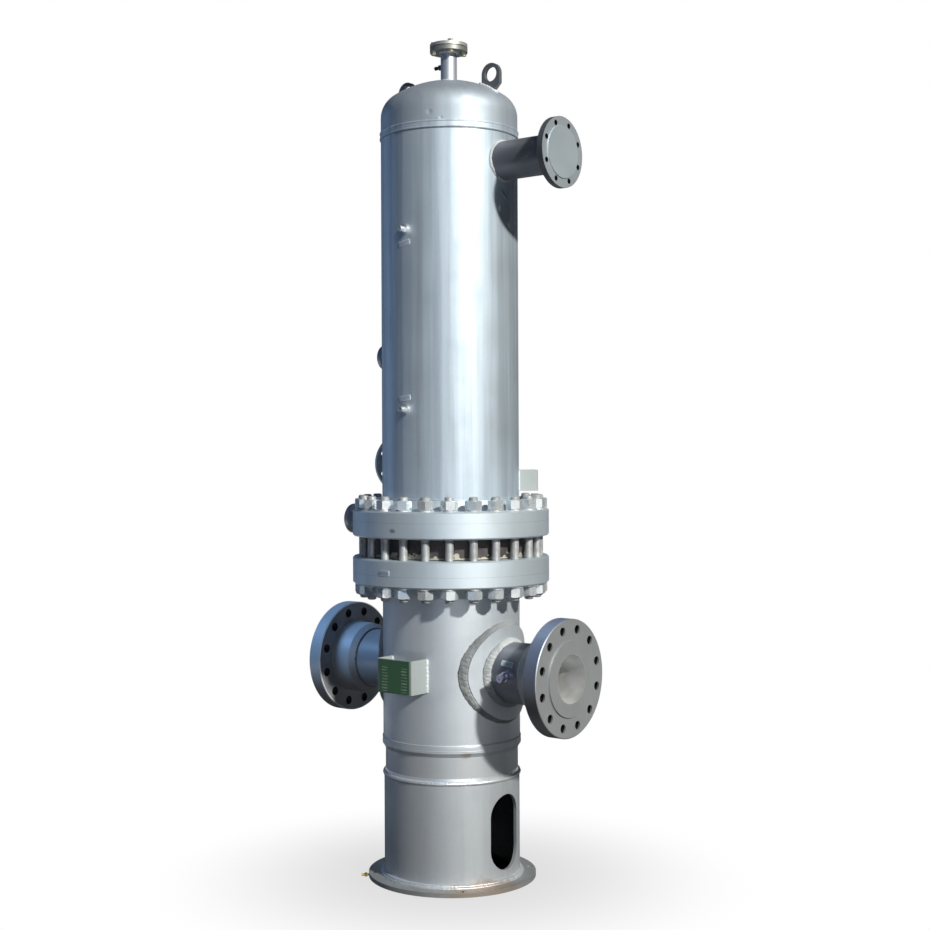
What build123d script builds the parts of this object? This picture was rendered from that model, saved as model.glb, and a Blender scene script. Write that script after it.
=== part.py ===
"""Vertical shell and tube heat exchanger, free standing on a skirt and base ring.

The vessel stands along Z with its origin at the centre of the base ring's underside.
The two channel nozzles lie along X and the name plate faces -Y. All lengths are in millimetres.
"""

import os
from math import atan2, degrees, sqrt

from build123d import *

# Fits and cuts
fit_gap = 0.3
cut_overrun = 5.0

# Base ring and skirt
base_ring_diameter = 620.0
base_ring_bore = 400.0
base_ring_thickness = 16.0
anchor_circle_diameter = 580.0
anchor_hole = 22.0
anchor_count = 4
anchor_turn = 45.0
base_weld_leg = 13.0
skirt_diameter = 502.0
skirt_wall = 12.0
skirt_height = 362.0
access_top_margin = 48.0
access_width = 156.0
access_rise = 41.0

# Earth stud in the rim of the base ring
earth_stud_diameter = 8.0
earth_stud_length = 27.0
earth_nut_flats = 13.0
earth_nut_height = 10.0
earth_nut_offset = 6.0
earth_bearing = 225.0

# Channel and its bottom head
channel_diameter = 508.0
channel_wall = 25.0
channel_length = 546.0
bottom_head_wall = 16.5
bottom_head_straight = 124.0
partition_thickness = 14.0
crown_share = 0.8
knuckle_share = 0.154
seam_weld_height = 2.5
seam_weld_width = 30.0
seam_weld_flank = 7.0
channel_weld_width = 44.0
skirt_weld_height = 26.0

# Bolted girth closure
girth_ring_width = 110.0
girth_thickness = 97.0
girth_rim_chamfer = 5.0
girth_hub_width = 22.0
girth_hub_length = 40.0
gasket_thickness = 3.0
gasket_margin = 22.0
tubesheet_margin = 8.5
tubesheet_thickness = 70.0
stud_count = 24
stud_edge = 37.0
stud_diameter = 33.0
stud_hole = 36.0
stud_waist = 30.0
stud_end = 13.0
stud_end_round = 7.0
stud_nut_flats = 54.0
stud_nut_height = 34.0
stud_nut_turn = 23.0
nut_face_share = 0.95
nut_chamfer_share = 0.58
stud_washer_diameter = 62.0
stud_washer_thickness = 5.0

# Shell and its top head
shell_diameter = 508.0
shell_wall = 14.0
shell_length = 1339.0
top_head_straight = 68.0

# Vent on the top head
vent_pipe_diameter = 60.3
vent_pipe_wall = 5.0
vent_projection = 110.0
vent_flange_diameter = 140.0
vent_flange_thickness = 15.0
vent_gasket_thickness = 3.0
vent_blind_thickness = 12.0
vent_bolt_circle_diameter = 110.0
vent_bolt_hole = 14.0
vent_bolt_diameter = 12.0
vent_bolt_flats = 19.0
vent_bolt_head = 8.0
vent_bolt_nut = 10.0
vent_bolt_count = 4
vent_bolt_turn = 45.0
vent_tap_drop = 48.0
vent_tap_boss_diameter = 20.0
vent_tap_boss_length = 14.0
vent_tap_stem_diameter = 9.0
vent_tap_stem_length = 11.0
vent_tap_cap_diameter = 14.0
vent_tap_cap_length = 9.0

# Lifting lugs on the top head
lug_radius = 199.0
lug_width = 80.0
lug_thickness = 16.0
lug_eye = 54.0
lug_eye_rise = 136.0
lug_foot_rise = 100.0
left_lug_drop = 10.0

# Channel nozzles, 8 inch class 600 weld neck
nozzle_reach = 537.0
nozzle_drop = 276.0
nozzle_pipe_diameter = 219.1
nozzle_pipe_wall = 23.0
nozzle_flange_diameter = 419.1
nozzle_flange_thickness = 55.6
nozzle_hub_diameter = 273.0
nozzle_hub_end_diameter = 262.0
nozzle_hub_length = 96.0
nozzle_hub_bevel = 20.0
nozzle_rim_chamfer = 3.0
nozzle_face_diameter = 269.9
nozzle_face_height = 6.4
nozzle_bolt_circle_diameter = 349.2
nozzle_bolt_hole = 31.75
nozzle_bolt_count = 12
nozzle_pad_diameter = 342.0
nozzle_pad_thickness = 18.0
nozzle_tap_setback = 40.0
nozzle_tap_lift = 21.5
nozzle_tap_droop = 7.0
nozzle_tap_boss_diameter = 36.0
nozzle_tap_boss_length = 20.0
nozzle_tap_stem_diameter = 21.3
nozzle_tap_stem_length = 12.0
nozzle_tap_cap_diameter = 29.0
nozzle_tap_cap_length = 20.0
nozzle_tap_socket = 11.0
nozzle_tap_socket_depth = 8.0

# Shell nozzles, 125 mm bore, PN 16 plate flange
shell_nozzle_reach = 508.0
shell_nozzle_pipe_diameter = 139.7
shell_nozzle_pipe_wall = 6.3
shell_nozzle_flange_diameter = 250.0
shell_nozzle_flange_thickness = 22.0
shell_nozzle_bolt_circle_diameter = 210.0
shell_nozzle_bolt_hole = 18.0
shell_nozzle_bolt_count = 8
shell_nozzle_cover_diameter = 184.0
shell_nozzle_cover_thickness = 4.0
shell_inlet_drop = 118.0
shell_outlet_rise = 164.0
shell_outlet_bearing = 150.0

# Plugged taps on the front of the shell
shell_tap_boss_diameter = 35.0
shell_tap_boss_length = 12.0
shell_tap_stem_diameter = 21.3
shell_tap_stem_length = 25.0
shell_tap_socket = 11.0
shell_tap_socket_depth = 14.0
lower_tap_rise = 364.0
upper_tap_rise = 1010.0

# Small flanged connections at the back
gauge_rise = 573.0
gauge_reach = 320.0
gauge_pipe_diameter = 21.3
gauge_pipe_wall = 2.8
gauge_flange_diameter = 95.0
gauge_flange_thickness = 14.0
gauge_bolt_circle_diameter = 65.0
gauge_bolt_hole = 14.0
drain_reach = 485.0
drain_pipe_diameter = 33.7
drain_pipe_wall = 3.4
drain_flange_diameter = 115.0
drain_flange_thickness = 18.0
drain_bolt_circle_diameter = 85.0
drain_bolt_hole = 14.0
small_flange_bolts = 4

# Plate brackets
bracket_bend = 7.0
name_bracket_width = 163.0
name_bracket_height = 121.0
name_bracket_depth = 73.0
name_bracket_gauge = 4.0
name_bracket_rise = 269.0
name_plate_side_margin = 12.0
name_plate_edge_margin = 2.0
name_plate_thickness = 1.5
tag_bracket_width = 96.0
tag_bracket_height = 78.0
tag_bracket_depth = 68.0
tag_bracket_gauge = 3.0
tag_bracket_rise = 103.0
tag_bracket_bearing = 45.0

# Levels, from the ground up
ring_top = base_ring_thickness
skirt_top = ring_top + skirt_height
channel_seam = skirt_top + bottom_head_straight
channel_top = channel_seam + channel_length
lower_flange_base = channel_top + girth_hub_length
lower_flange_top = lower_flange_base + girth_thickness
tubesheet_base = lower_flange_top + gasket_thickness
tubesheet_top = tubesheet_base + tubesheet_thickness
upper_flange_base = tubesheet_top + gasket_thickness
upper_flange_top = upper_flange_base + girth_thickness
shell_base = upper_flange_top + girth_hub_length
shell_seam = shell_base + shell_length
top_tangent = shell_seam + top_head_straight

# Radii
shell_radius = shell_diameter / 2
shell_bore_radius = shell_radius - shell_wall
channel_radius = channel_diameter / 2
channel_bore_radius = channel_radius - channel_wall
bottom_head_radius = channel_bore_radius + bottom_head_wall
skirt_radius = skirt_diameter / 2
girth_radius = channel_radius + girth_ring_width
girth_hub_radius = channel_radius + girth_hub_width
stud_circle_radius = girth_radius - stud_edge
tubesheet_radius = stud_circle_radius - stud_diameter / 2 - tubesheet_margin
gasket_radius = tubesheet_radius - gasket_margin
nozzle_pipe_radius = nozzle_pipe_diameter / 2
nozzle_bore_radius = nozzle_pipe_radius - nozzle_pipe_wall

# Bearings about Z, counted from +X towards +Y
right_bearing = 0
left_bearing = 180
front_bearing = -90

on_floor = (Align.CENTER, Align.CENTER, Align.MIN)


def turned(outline):
    """A solid turned about Z from a closed outline of (radius, height) points."""
    face = make_face(Polyline(*outline, close=True))
    return revolve(Plane.XZ * face, Axis.Z)


def rod(radius, low, high):
    """A round bar on Z between two heights."""
    return Pos(0, 0, low) * Cylinder(radius, high - low, align=on_floor)


def tube(outer, inner, low, high):
    """A pipe on Z between two heights."""
    return rod(outer, low, high) - rod(inner, low - cut_overrun, high + cut_overrun)


def hexagon(flats, low, high):
    """A hexagonal bar on Z between two heights."""
    outline = RegularPolygon(flats / 2, side_count=6, major_radius=False)
    return Pos(0, 0, low) * extrude(outline, high - low)


def stepped(skin, *steps):
    """A stepped bar on Z of (diameter, length) steps, which start at the skin that it stands on."""
    outline = [(0, 0)]
    low = 0
    high = skin
    for diameter, length in steps:
        high = high + length
        outline += [(diameter / 2, low), (diameter / 2, high)]
        low = high
    return turned(outline + [(0, high)])


def socketed(bar, socket, depth, end):
    """The bar with a round socket in its end."""
    return bar - rod(socket / 2, end - depth, end + cut_overrun)


def drilled(solid, circle, hole, count, turn, low, high):
    """The solid with a circle of holes round Z."""
    drill = rod(hole / 2, low - cut_overrun, high + cut_overrun)
    for spot in PolarLocations(circle / 2, count, turn):
        solid = solid - spot * drill
    return solid


def straddle(count):
    """The turn that sets a bolt circle's holes either side of its main axes."""
    return 180 / count


def outward(bearing, height):
    """A place whose own Z runs straight out from the vessel at a bearing and a height."""
    return Pos(0, 0, height) * Rot(0, 0, bearing) * Rot(0, 90, 0)


def dish_points(radius, offset):
    """Crown and knuckle of a dished head drawn for a bore radius, offset outwards by a wall."""
    crown = crown_share * 2 * radius
    knuckle = knuckle_share * 2 * radius
    reach = radius - knuckle
    sink = sqrt((crown - knuckle) ** 2 - reach ** 2)
    lean = degrees(atan2(sink, reach))
    return crown + offset, knuckle + offset, reach, sink, lean


def dish_line(radius, offset):
    """The curve of a dished head from its tangent line up to the axis."""
    crown, knuckle, reach, sink, lean = dish_points(radius, offset)
    return [CenterArc((reach, 0), knuckle, 0, lean), CenterArc((0, -sink), crown, lean, 90 - lean)]


def dish_height(radius, offset):
    """How far the crown stands over the tangent line."""
    crown, knuckle, reach, sink, lean = dish_points(radius, offset)
    return crown - sink


def dish_solid(radius, offset, straight):
    """The filled form of a dished head with its straight flange below the tangent line."""
    outer = radius + offset
    crown = (0, dish_height(radius, offset))
    centre = (0, -straight)
    foot = (outer, -straight)
    sides = [Line(crown, centre), Line(centre, foot), Line(foot, (outer, 0))]
    face = make_face(dish_line(radius, offset) + sides)
    return revolve(Plane.XZ * face, Axis.Z)


def dished_head(radius, wall, straight):
    """A hollow dished head, open downwards, with its tangent line at zero."""
    return dish_solid(radius, wall, straight) - dish_solid(radius, 0, straight + cut_overrun)


def set_in_pipe(place, outer, inner, start, end, bore):
    """A nozzle pipe that ends flush with the inside of the vessel's wall."""
    pipe = place * tube(outer, inner, start, end)
    return pipe - rod(bore, 0, top_tangent)


def branch_hole(place, radius, reach):
    """The cut that lets a nozzle pipe through one side of the vessel's wall."""
    return place * rod(radius + fit_gap, 0, reach)


# Places of the nozzles and taps
nozzle_height = channel_top - nozzle_drop
shell_inlet_height = shell_seam - shell_inlet_drop
shell_outlet_height = upper_flange_top + shell_outlet_rise
right_nozzle = outward(right_bearing, nozzle_height)
left_nozzle = outward(left_bearing, nozzle_height)
shell_inlet = outward(right_bearing, shell_inlet_height)
shell_outlet = outward(shell_outlet_bearing, shell_outlet_height)
drain_height = upper_flange_base + girth_thickness / 2
gauge = outward(left_bearing, upper_flange_top + gauge_rise)


def base_ring():
    """Flat ring on the ground, drilled for the anchor bolts."""
    ring = tube(base_ring_diameter / 2, base_ring_bore / 2, 0, ring_top)
    return drilled(ring, anchor_circle_diameter, anchor_hole, anchor_count, anchor_turn, 0, ring_top)


def base_ring_weld():
    """Fillet weld all round between the skirt and the base ring."""
    foot = skirt_radius + fit_gap
    return turned([(foot, ring_top), (foot + base_weld_leg, ring_top), (foot, ring_top + base_weld_leg)])


def skirt():
    """Rolled cylinder under the bottom head, coped to the knuckle, with the access opening."""
    wall = tube(skirt_radius, skirt_radius - skirt_wall, ring_top, skirt_top)
    head = bottom_dish(bottom_head_wall + fit_gap)
    access_height = skirt_height - access_rise - access_top_margin
    slot = Plane.YZ * SlotOverall(access_height, access_width, rotation=90)
    middle = ring_top + access_rise + access_height / 2
    return wall - head - Pos(0, 0, middle) * extrude(slot, skirt_diameter)


def bottom_dish(offset):
    """The filled form of the bottom head at an offset from its bore."""
    form = dish_solid(channel_bore_radius, offset, bottom_head_straight)
    return Pos(0, 0, skirt_top) * Rot(180, 0, 0) * form


def bottom_head():
    """Dished head that closes the channel below, hung inside the skirt."""
    head = dished_head(channel_bore_radius, bottom_head_wall, bottom_head_straight)
    return Pos(0, 0, skirt_top) * Rot(180, 0, 0) * head


def skirt_top_weld():
    """Bevelled weld between the top of the skirt and the bottom head."""
    inner = bottom_head_radius + fit_gap
    return turned([(inner, skirt_top), (skirt_radius, skirt_top), (inner, skirt_top + skirt_weld_height)])


def channel_seam_weld():
    """Wide weld that steps from the thick channel down to the thinner bottom head."""
    inner = bottom_head_radius + fit_gap
    step = channel_radius + fit_gap
    crest = channel_radius + seam_weld_height
    half = channel_weld_width / 2
    outline = [(inner, channel_seam), (step, channel_seam), (step, channel_seam + half)]
    outline += [(crest, channel_seam + half - seam_weld_flank), (crest, channel_seam - seam_weld_flank)]
    outline += [(inner, channel_seam - half)]
    return turned(outline)


def channel_barrel():
    """Thick barrel between the bottom head and the lower girth flange, with its two nozzle holes."""
    barrel = tube(channel_radius, channel_bore_radius, channel_seam, channel_top)
    for place in (right_nozzle, left_nozzle):
        barrel = barrel - branch_hole(place, nozzle_pipe_radius, channel_diameter)
    return barrel


def pass_partition():
    """Plate across the channel that parts the inflow from the outflow."""
    inside = rod(channel_bore_radius - fit_gap, skirt_top, lower_flange_top)
    inside = inside + bottom_dish(-fit_gap)
    lowest = skirt_top - dish_height(channel_bore_radius, 0)
    height = tubesheet_base - lowest
    plate = Pos(0, 0, lowest) * Box(partition_thickness, channel_diameter, height, align=on_floor)
    return plate & inside


def girth_flange(bore):
    """Thick drilled ring with a tapered hub below it, its mating face at zero."""
    back = -girth_thickness
    end = back - girth_hub_length
    rim = girth_radius - girth_rim_chamfer
    outline = [(bore, 0), (rim, 0), (girth_radius, -girth_rim_chamfer)]
    outline += [(girth_radius, back + girth_rim_chamfer), (rim, back), (girth_hub_radius, back)]
    outline += [(channel_radius, end), (bore, end)]
    ring = turned(outline)
    holes = (2 * stud_circle_radius, stud_hole, stud_count, straddle(stud_count))
    return drilled(ring, *holes, back, 0)


def lower_girth_flange():
    """Flange on the channel, mating face up."""
    return Pos(0, 0, lower_flange_top) * girth_flange(channel_bore_radius)


def upper_girth_flange():
    """Flange on the shell, mating face down."""
    return Pos(0, 0, upper_flange_base) * Rot(180, 0, 0) * girth_flange(shell_bore_radius)


def tubesheet():
    """Thick disc clamped between the flanges inside the ring of studs."""
    return rod(tubesheet_radius, tubesheet_base, tubesheet_top)


def gasket(low, bore):
    """Ring gasket between a flange and the tubesheet."""
    return tube(gasket_radius, bore, low, low + gasket_thickness)


def round_studs(solid):
    """One copy of a solid at each stud, each turned a little further than the last."""
    spots = PolarLocations(stud_circle_radius, stud_count, straddle(stud_count))
    return [spot * Rot(0, 0, index * stud_nut_turn) * solid for index, spot in enumerate(spots)]


def girth_stud():
    """Through stud with rounded ends and a thinner waist between its threaded lengths."""
    overhang = stud_washer_thickness + stud_nut_height + stud_end
    bar = rod(stud_diameter / 2, lower_flange_base - overhang, upper_flange_top + overhang)
    bar = fillet(bar.edges().filter_by(GeomType.CIRCLE), stud_end_round)
    low = lower_flange_base + stud_diameter
    return bar - tube(stud_diameter, stud_waist / 2, low, upper_flange_top - stud_diameter)


def stud_ring(outer, low, high):
    """A nut or washer blank with its hole cut to the stud."""
    return outer - rod(stud_diameter / 2 + fit_gap, low - cut_overrun, high + cut_overrun)


def heavy_nut(low):
    """Heavy hexagon nut with its corners turned off at both faces."""
    high = low + stud_nut_height
    corner = stud_nut_flats / sqrt(3)
    face = nut_face_share * stud_nut_flats / 2
    bevel = nut_chamfer_share * (corner - face)
    outline = [(0, low), (face, low), (corner, low + bevel), (corner, high - bevel), (face, high), (0, high)]
    blank = hexagon(stud_nut_flats, low, high) & turned(outline)
    return stud_ring(blank, low, high)


def upper_nut():
    """Nut over the upper flange."""
    return heavy_nut(upper_flange_top + stud_washer_thickness)


def lower_nut():
    """Nut under the lower flange."""
    return heavy_nut(lower_flange_base - stud_washer_thickness - stud_nut_height)


def washer(low):
    """Hardened washer under a nut."""
    high = low + stud_washer_thickness
    return stud_ring(rod(stud_washer_diameter / 2, low, high), low, high)


def shell_barrel():
    """Long barrel round the tube bundle, with its two nozzle holes."""
    barrel = tube(shell_radius, shell_bore_radius, shell_base, shell_seam)
    for place in (shell_inlet, shell_outlet):
        barrel = barrel - branch_hole(place, shell_nozzle_pipe_diameter / 2, shell_diameter)
    return barrel


def shell_seam_weld():
    """Raised weld between the shell and the top head."""
    inner = shell_radius + fit_gap
    crest = shell_radius + seam_weld_height
    half = seam_weld_width / 2
    outline = [(inner, shell_seam - half), (crest, shell_seam - half + seam_weld_flank)]
    outline += [(crest, shell_seam + half - seam_weld_flank), (inner, shell_seam + half)]
    return turned(outline)


# The top head's crown and the vent stack on it
head_crown = top_tangent + dish_height(shell_bore_radius, shell_wall)
vent_flange_base = head_crown + vent_projection
vent_flange_top = vent_flange_base + vent_flange_thickness
vent_gasket_top = vent_flange_top + vent_gasket_thickness
vent_top = vent_gasket_top + vent_blind_thickness
vent_pipe_radius = vent_pipe_diameter / 2
vent_bore_radius = vent_pipe_radius - vent_pipe_wall


def top_dish(offset):
    """The filled form of the top head at an offset from its bore."""
    return Pos(0, 0, top_tangent) * dish_solid(shell_bore_radius, offset, top_head_straight)


def top_head():
    """Dished head on the shell with a hole for the vent neck."""
    head = Pos(0, 0, top_tangent) * dished_head(shell_bore_radius, shell_wall, top_head_straight)
    return head - rod(vent_pipe_radius + fit_gap, top_tangent, head_crown + cut_overrun)


def vent_neck():
    """Short pipe from the crown up to the vent flange."""
    pipe = tube(vent_pipe_radius, vent_bore_radius, top_tangent, vent_flange_base)
    return pipe - top_dish(0)


def vent_plate(inner, low, high):
    """A round plate of the vent, bored or blind, drilled for the vent bolts."""
    plate = rod(vent_flange_diameter / 2, low, high)
    if inner > 0:
        plate = plate - rod(inner, low - cut_overrun, high + cut_overrun)
    holes = (vent_bolt_circle_diameter, vent_bolt_hole, vent_bolt_count, vent_bolt_turn)
    return drilled(plate, *holes, low, high)


def vent_gasket():
    """Ring inside the vent bolts, between the flange and the blind."""
    outer = (vent_bolt_circle_diameter - vent_bolt_hole) / 2
    return tube(outer, vent_bore_radius, vent_flange_top, vent_gasket_top)


def vent_bolts():
    """Hexagon bolts with their nuts under the flange."""
    bolt = rod(vent_bolt_diameter / 2, vent_flange_base - vent_bolt_nut, vent_top)
    bolt = bolt + hexagon(vent_bolt_flats, vent_top, vent_top + vent_bolt_head)
    bolt = bolt + hexagon(vent_bolt_flats, vent_flange_base - vent_bolt_nut, vent_flange_base)
    spots = PolarLocations(vent_bolt_circle_diameter / 2, vent_bolt_count, vent_bolt_turn)
    return [spot * bolt for spot in spots]


def vent_tap():
    """Plugged stub on the vent neck, opposite the shell inlet."""
    start = vent_pipe_radius + fit_gap
    boss = (vent_tap_boss_diameter, vent_tap_boss_length)
    stem = (vent_tap_stem_diameter, vent_tap_stem_length)
    cap = (vent_tap_cap_diameter, vent_tap_cap_length)
    place = outward(left_bearing, vent_flange_base - vent_tap_drop)
    return place * stepped(start, boss, stem, cap) - rod(start, head_crown, vent_top)


def lifting_lug(side, drop):
    """Upright eye plate on the head, cut to the crown, its outer foot cut back at 45 degrees."""
    middle = side * lug_radius
    half = lug_width / 2
    eye = top_tangent + lug_eye_rise - drop
    foot = top_tangent + lug_foot_rise - drop
    outer = middle + side * half
    inner = middle - side * half
    outline = [(inner, eye), (outer, eye), (outer, foot), (middle, foot - half), (inner, foot - half)]
    plate = make_face(Polyline(*outline, close=True)) + Pos(middle, eye) * Circle(half)
    plate = plate - Pos(middle, eye) * Circle(lug_eye / 2)
    return extrude(Plane.XZ * plate, lug_thickness / 2, both=True) - top_dish(shell_wall + fit_gap)


# Distances along a channel nozzle, from the vessel's axis
nozzle_face = nozzle_reach - nozzle_face_height
nozzle_back = nozzle_face - nozzle_flange_thickness
nozzle_weld = nozzle_back - nozzle_hub_length


def nozzle_pad(place):
    """Round plate rolled to the channel, with a hole for the neck."""
    skin = channel_radius + fit_gap
    low = nozzle_height - nozzle_pad_diameter
    high = nozzle_height + nozzle_pad_diameter
    plate = tube(skin + nozzle_pad_thickness, skin, low, high)
    plate = plate & place * rod(nozzle_pad_diameter / 2, 0, channel_diameter)
    return plate - branch_hole(place, nozzle_pipe_radius, channel_diameter)


def nozzle_neck(place):
    """Pipe from the channel out to the flange's hub."""
    start = channel_bore_radius / 2
    ring = (nozzle_pipe_radius, nozzle_bore_radius)
    return set_in_pipe(place, *ring, start, nozzle_weld, channel_bore_radius)


def nozzle_flange(place):
    """Weld neck flange with a stout hub bevelled to the pipe, a raised face and its bolt holes."""
    rim = nozzle_flange_diameter / 2
    edge = rim - nozzle_rim_chamfer
    face = nozzle_face_diameter / 2
    bevel_end = nozzle_weld + nozzle_hub_bevel
    outline = [(nozzle_bore_radius, nozzle_weld), (nozzle_pipe_radius, nozzle_weld)]
    outline += [(nozzle_hub_end_diameter / 2, bevel_end), (nozzle_hub_diameter / 2, nozzle_back)]
    outline += [(edge, nozzle_back), (rim, nozzle_back + nozzle_rim_chamfer)]
    outline += [(rim, nozzle_face - nozzle_rim_chamfer), (edge, nozzle_face)]
    outline += [(face, nozzle_face), (face, nozzle_reach), (nozzle_bore_radius, nozzle_reach)]
    holes = (nozzle_bolt_circle_diameter, nozzle_bolt_hole, nozzle_bolt_count, straddle(nozzle_bolt_count))
    return place * drilled(turned(outline), *holes, nozzle_back, nozzle_face)


def nozzle_tap():
    """Plugged tap on the right neck, towards the front and drooping, cut to the neck and to the pad."""
    start = nozzle_pipe_radius + fit_gap
    boss = (nozzle_tap_boss_diameter, nozzle_tap_boss_length)
    stem = (nozzle_tap_stem_diameter, nozzle_tap_stem_length)
    cap = (nozzle_tap_cap_diameter, nozzle_tap_cap_length)
    end = start + nozzle_tap_boss_length + nozzle_tap_stem_length + nozzle_tap_cap_length
    bar = socketed(stepped(start, boss, stem, cap), nozzle_tap_socket, nozzle_tap_socket_depth, end)
    along = nozzle_weld - nozzle_tap_setback
    level = nozzle_height + nozzle_tap_lift
    place = Pos(along, 0, 0) * outward(front_bearing, level) * Rot(0, nozzle_tap_droop, 0)
    pad = rod(channel_radius + nozzle_pad_thickness + 2 * fit_gap, 0, lower_flange_top)
    return place * bar - right_nozzle * rod(start, 0, nozzle_reach) - pad


# Distances along a shell nozzle, from the vessel's axis
shell_nozzle_back = shell_nozzle_reach - shell_nozzle_flange_thickness
shell_nozzle_pipe_radius = shell_nozzle_pipe_diameter / 2
shell_nozzle_bore_radius = shell_nozzle_pipe_radius - shell_nozzle_pipe_wall


def shell_nozzle_neck(place):
    """Pipe from the shell out through its plate flange to just short of the face."""
    start = shell_bore_radius / 2
    pipe = shell_nozzle_pipe_radius
    return set_in_pipe(place, pipe, shell_nozzle_bore_radius, start, shell_nozzle_reach, shell_bore_radius)


def shell_nozzle_flange(place):
    """Plate flange slipped over the pipe, with its bolt holes."""
    rim = shell_nozzle_flange_diameter / 2
    bore = shell_nozzle_pipe_radius + fit_gap
    ring = tube(rim, bore, shell_nozzle_back, shell_nozzle_reach)
    turn = straddle(shell_nozzle_bolt_count)
    holes = (shell_nozzle_bolt_circle_diameter, shell_nozzle_bolt_hole, shell_nozzle_bolt_count, turn)
    return place * drilled(ring, *holes, shell_nozzle_back, shell_nozzle_reach)


def shell_nozzle_cover(place):
    """Thin disc that closes the nozzle inside its bolt holes."""
    end = shell_nozzle_reach + shell_nozzle_cover_thickness
    return place * rod(shell_nozzle_cover_diameter / 2, shell_nozzle_reach, end)


def shell_tap(rise):
    """Boss and nipple on the front of the shell, with a socket plug in its end."""
    skin = shell_radius + fit_gap
    boss = (shell_tap_boss_diameter, shell_tap_boss_length)
    stem = (shell_tap_stem_diameter, shell_tap_stem_length)
    end = skin + shell_tap_boss_length + shell_tap_stem_length
    bar = socketed(stepped(skin, boss, stem), shell_tap_socket, shell_tap_socket_depth, end)
    height = upper_flange_top + rise
    return outward(front_bearing, height) * bar - rod(skin, 0, top_tangent)


def small_nozzle(place, skin, pipe, wall, flange, thickness, circle, hole, reach):
    """Small drilled flange on a stub of pipe that starts at the skin of what carries it."""
    bore = pipe / 2 - wall
    body = rod(pipe / 2, 0, reach) + rod(flange / 2, reach - thickness, reach)
    body = body - rod(bore, 0, reach + cut_overrun)
    turn = straddle(small_flange_bolts)
    body = drilled(body, circle, hole, small_flange_bolts, turn, reach - thickness, reach)
    return place * body - rod(skin + fit_gap, 0, top_tangent)


def gauge_nozzle():
    """Small flanged connection on the shell, opposite the inlet."""
    flange = (gauge_flange_diameter, gauge_flange_thickness, gauge_bolt_circle_diameter, gauge_bolt_hole)
    return small_nozzle(gauge, shell_radius, gauge_pipe_diameter, gauge_pipe_wall, *flange, gauge_reach)


def drain_nozzle():
    """Small flanged connection in the rim of the upper girth flange."""
    flange = (drain_flange_diameter, drain_flange_thickness, drain_bolt_circle_diameter, drain_bolt_hole)
    place = outward(left_bearing, drain_height)
    return small_nozzle(place, girth_radius, drain_pipe_diameter, drain_pipe_wall, *flange, drain_reach)


def bent_box(reach, width, height, bend):
    """A box towards +X with its two far upright edges rounded."""
    box = Box(reach, width, height, align=(Align.MIN, Align.CENTER, Align.CENTER))
    return fillet(box.edges().filter_by(Axis.Z).sort_by(Axis.X)[-2:], bend)


def plate_bracket(radius, width, height, depth, thickness):
    """Bent strap that stands off the vessel towards +X, its two legs cut to the vessel."""
    reach = radius + depth
    strap = bent_box(reach, width, height, bracket_bend)
    inside = width - 2 * thickness
    hollow = bent_box(reach - thickness, inside, height + 2 * cut_overrun, bracket_bend - thickness)
    skin = Pos(0, 0, -height) * Cylinder(radius + fit_gap, 2 * height, align=on_floor)
    return strap - hollow - skin


def name_plate_place():
    """Front of the channel, level with the name plate's middle."""
    return Pos(0, 0, channel_seam + name_bracket_rise) * Rot(0, 0, front_bearing)


def name_bracket():
    """Bracket for the name plate, on the front of the channel."""
    size = (name_bracket_width, name_bracket_height, name_bracket_depth, name_bracket_gauge)
    return name_plate_place() * plate_bracket(channel_radius, *size)


def name_plate():
    """Thin bare plate on the face of its bracket."""
    width = name_bracket_width - 2 * name_plate_side_margin
    height = name_bracket_height - 2 * name_plate_edge_margin
    side = (Align.MIN, Align.CENTER, Align.CENTER)
    plate = Box(name_plate_thickness, width, height, align=side)
    return name_plate_place() * Pos(channel_radius + name_bracket_depth, 0, 0) * plate


def tag_bracket():
    """Smaller bracket low on the shell, at the back."""
    size = (tag_bracket_width, tag_bracket_height, tag_bracket_depth, tag_bracket_gauge)
    place = Pos(0, 0, upper_flange_top + tag_bracket_rise) * Rot(0, 0, tag_bracket_bearing)
    return place * plate_bracket(shell_radius, *size)


def earth_stud():
    """Brass stud with its nut in the rim of the base ring."""
    rim = base_ring_diameter / 2 + fit_gap
    nut = rim + earth_nut_offset
    stud = rod(earth_stud_diameter / 2, rim, rim + earth_stud_length)
    stud = stud + hexagon(earth_nut_flats, nut, nut + earth_nut_height)
    place = outward(earth_bearing, base_ring_thickness / 2)
    return place * stud - rod(rim, 0, skirt_top)


def save(name, *solids):
    """Write one node, of one solid or of several that stand apart."""
    shape = solids[0] if len(solids) == 1 else Compound(children=list(solids))
    export_step(shape, f"parts/{name}.step")


os.makedirs("parts", exist_ok=True)

save("base_ring", base_ring())
save("base_ring_weld", base_ring_weld())
save("earth_stud", earth_stud())
save("skirt", skirt())
save("skirt_top_weld", skirt_top_weld())
save("bottom_head", bottom_head())
save("channel_seam_weld", channel_seam_weld())
save("channel_barrel", channel_barrel())
save("pass_partition", pass_partition())
save("name_bracket", name_bracket())
save("name_plate", name_plate())

for side_name, side_place in (("right", right_nozzle), ("left", left_nozzle)):
    save(f"{side_name}_nozzle_pad", nozzle_pad(side_place))
    save(f"{side_name}_nozzle_neck", nozzle_neck(side_place))
    save(f"{side_name}_nozzle_flange", nozzle_flange(side_place))
save("nozzle_tap", nozzle_tap())

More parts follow.
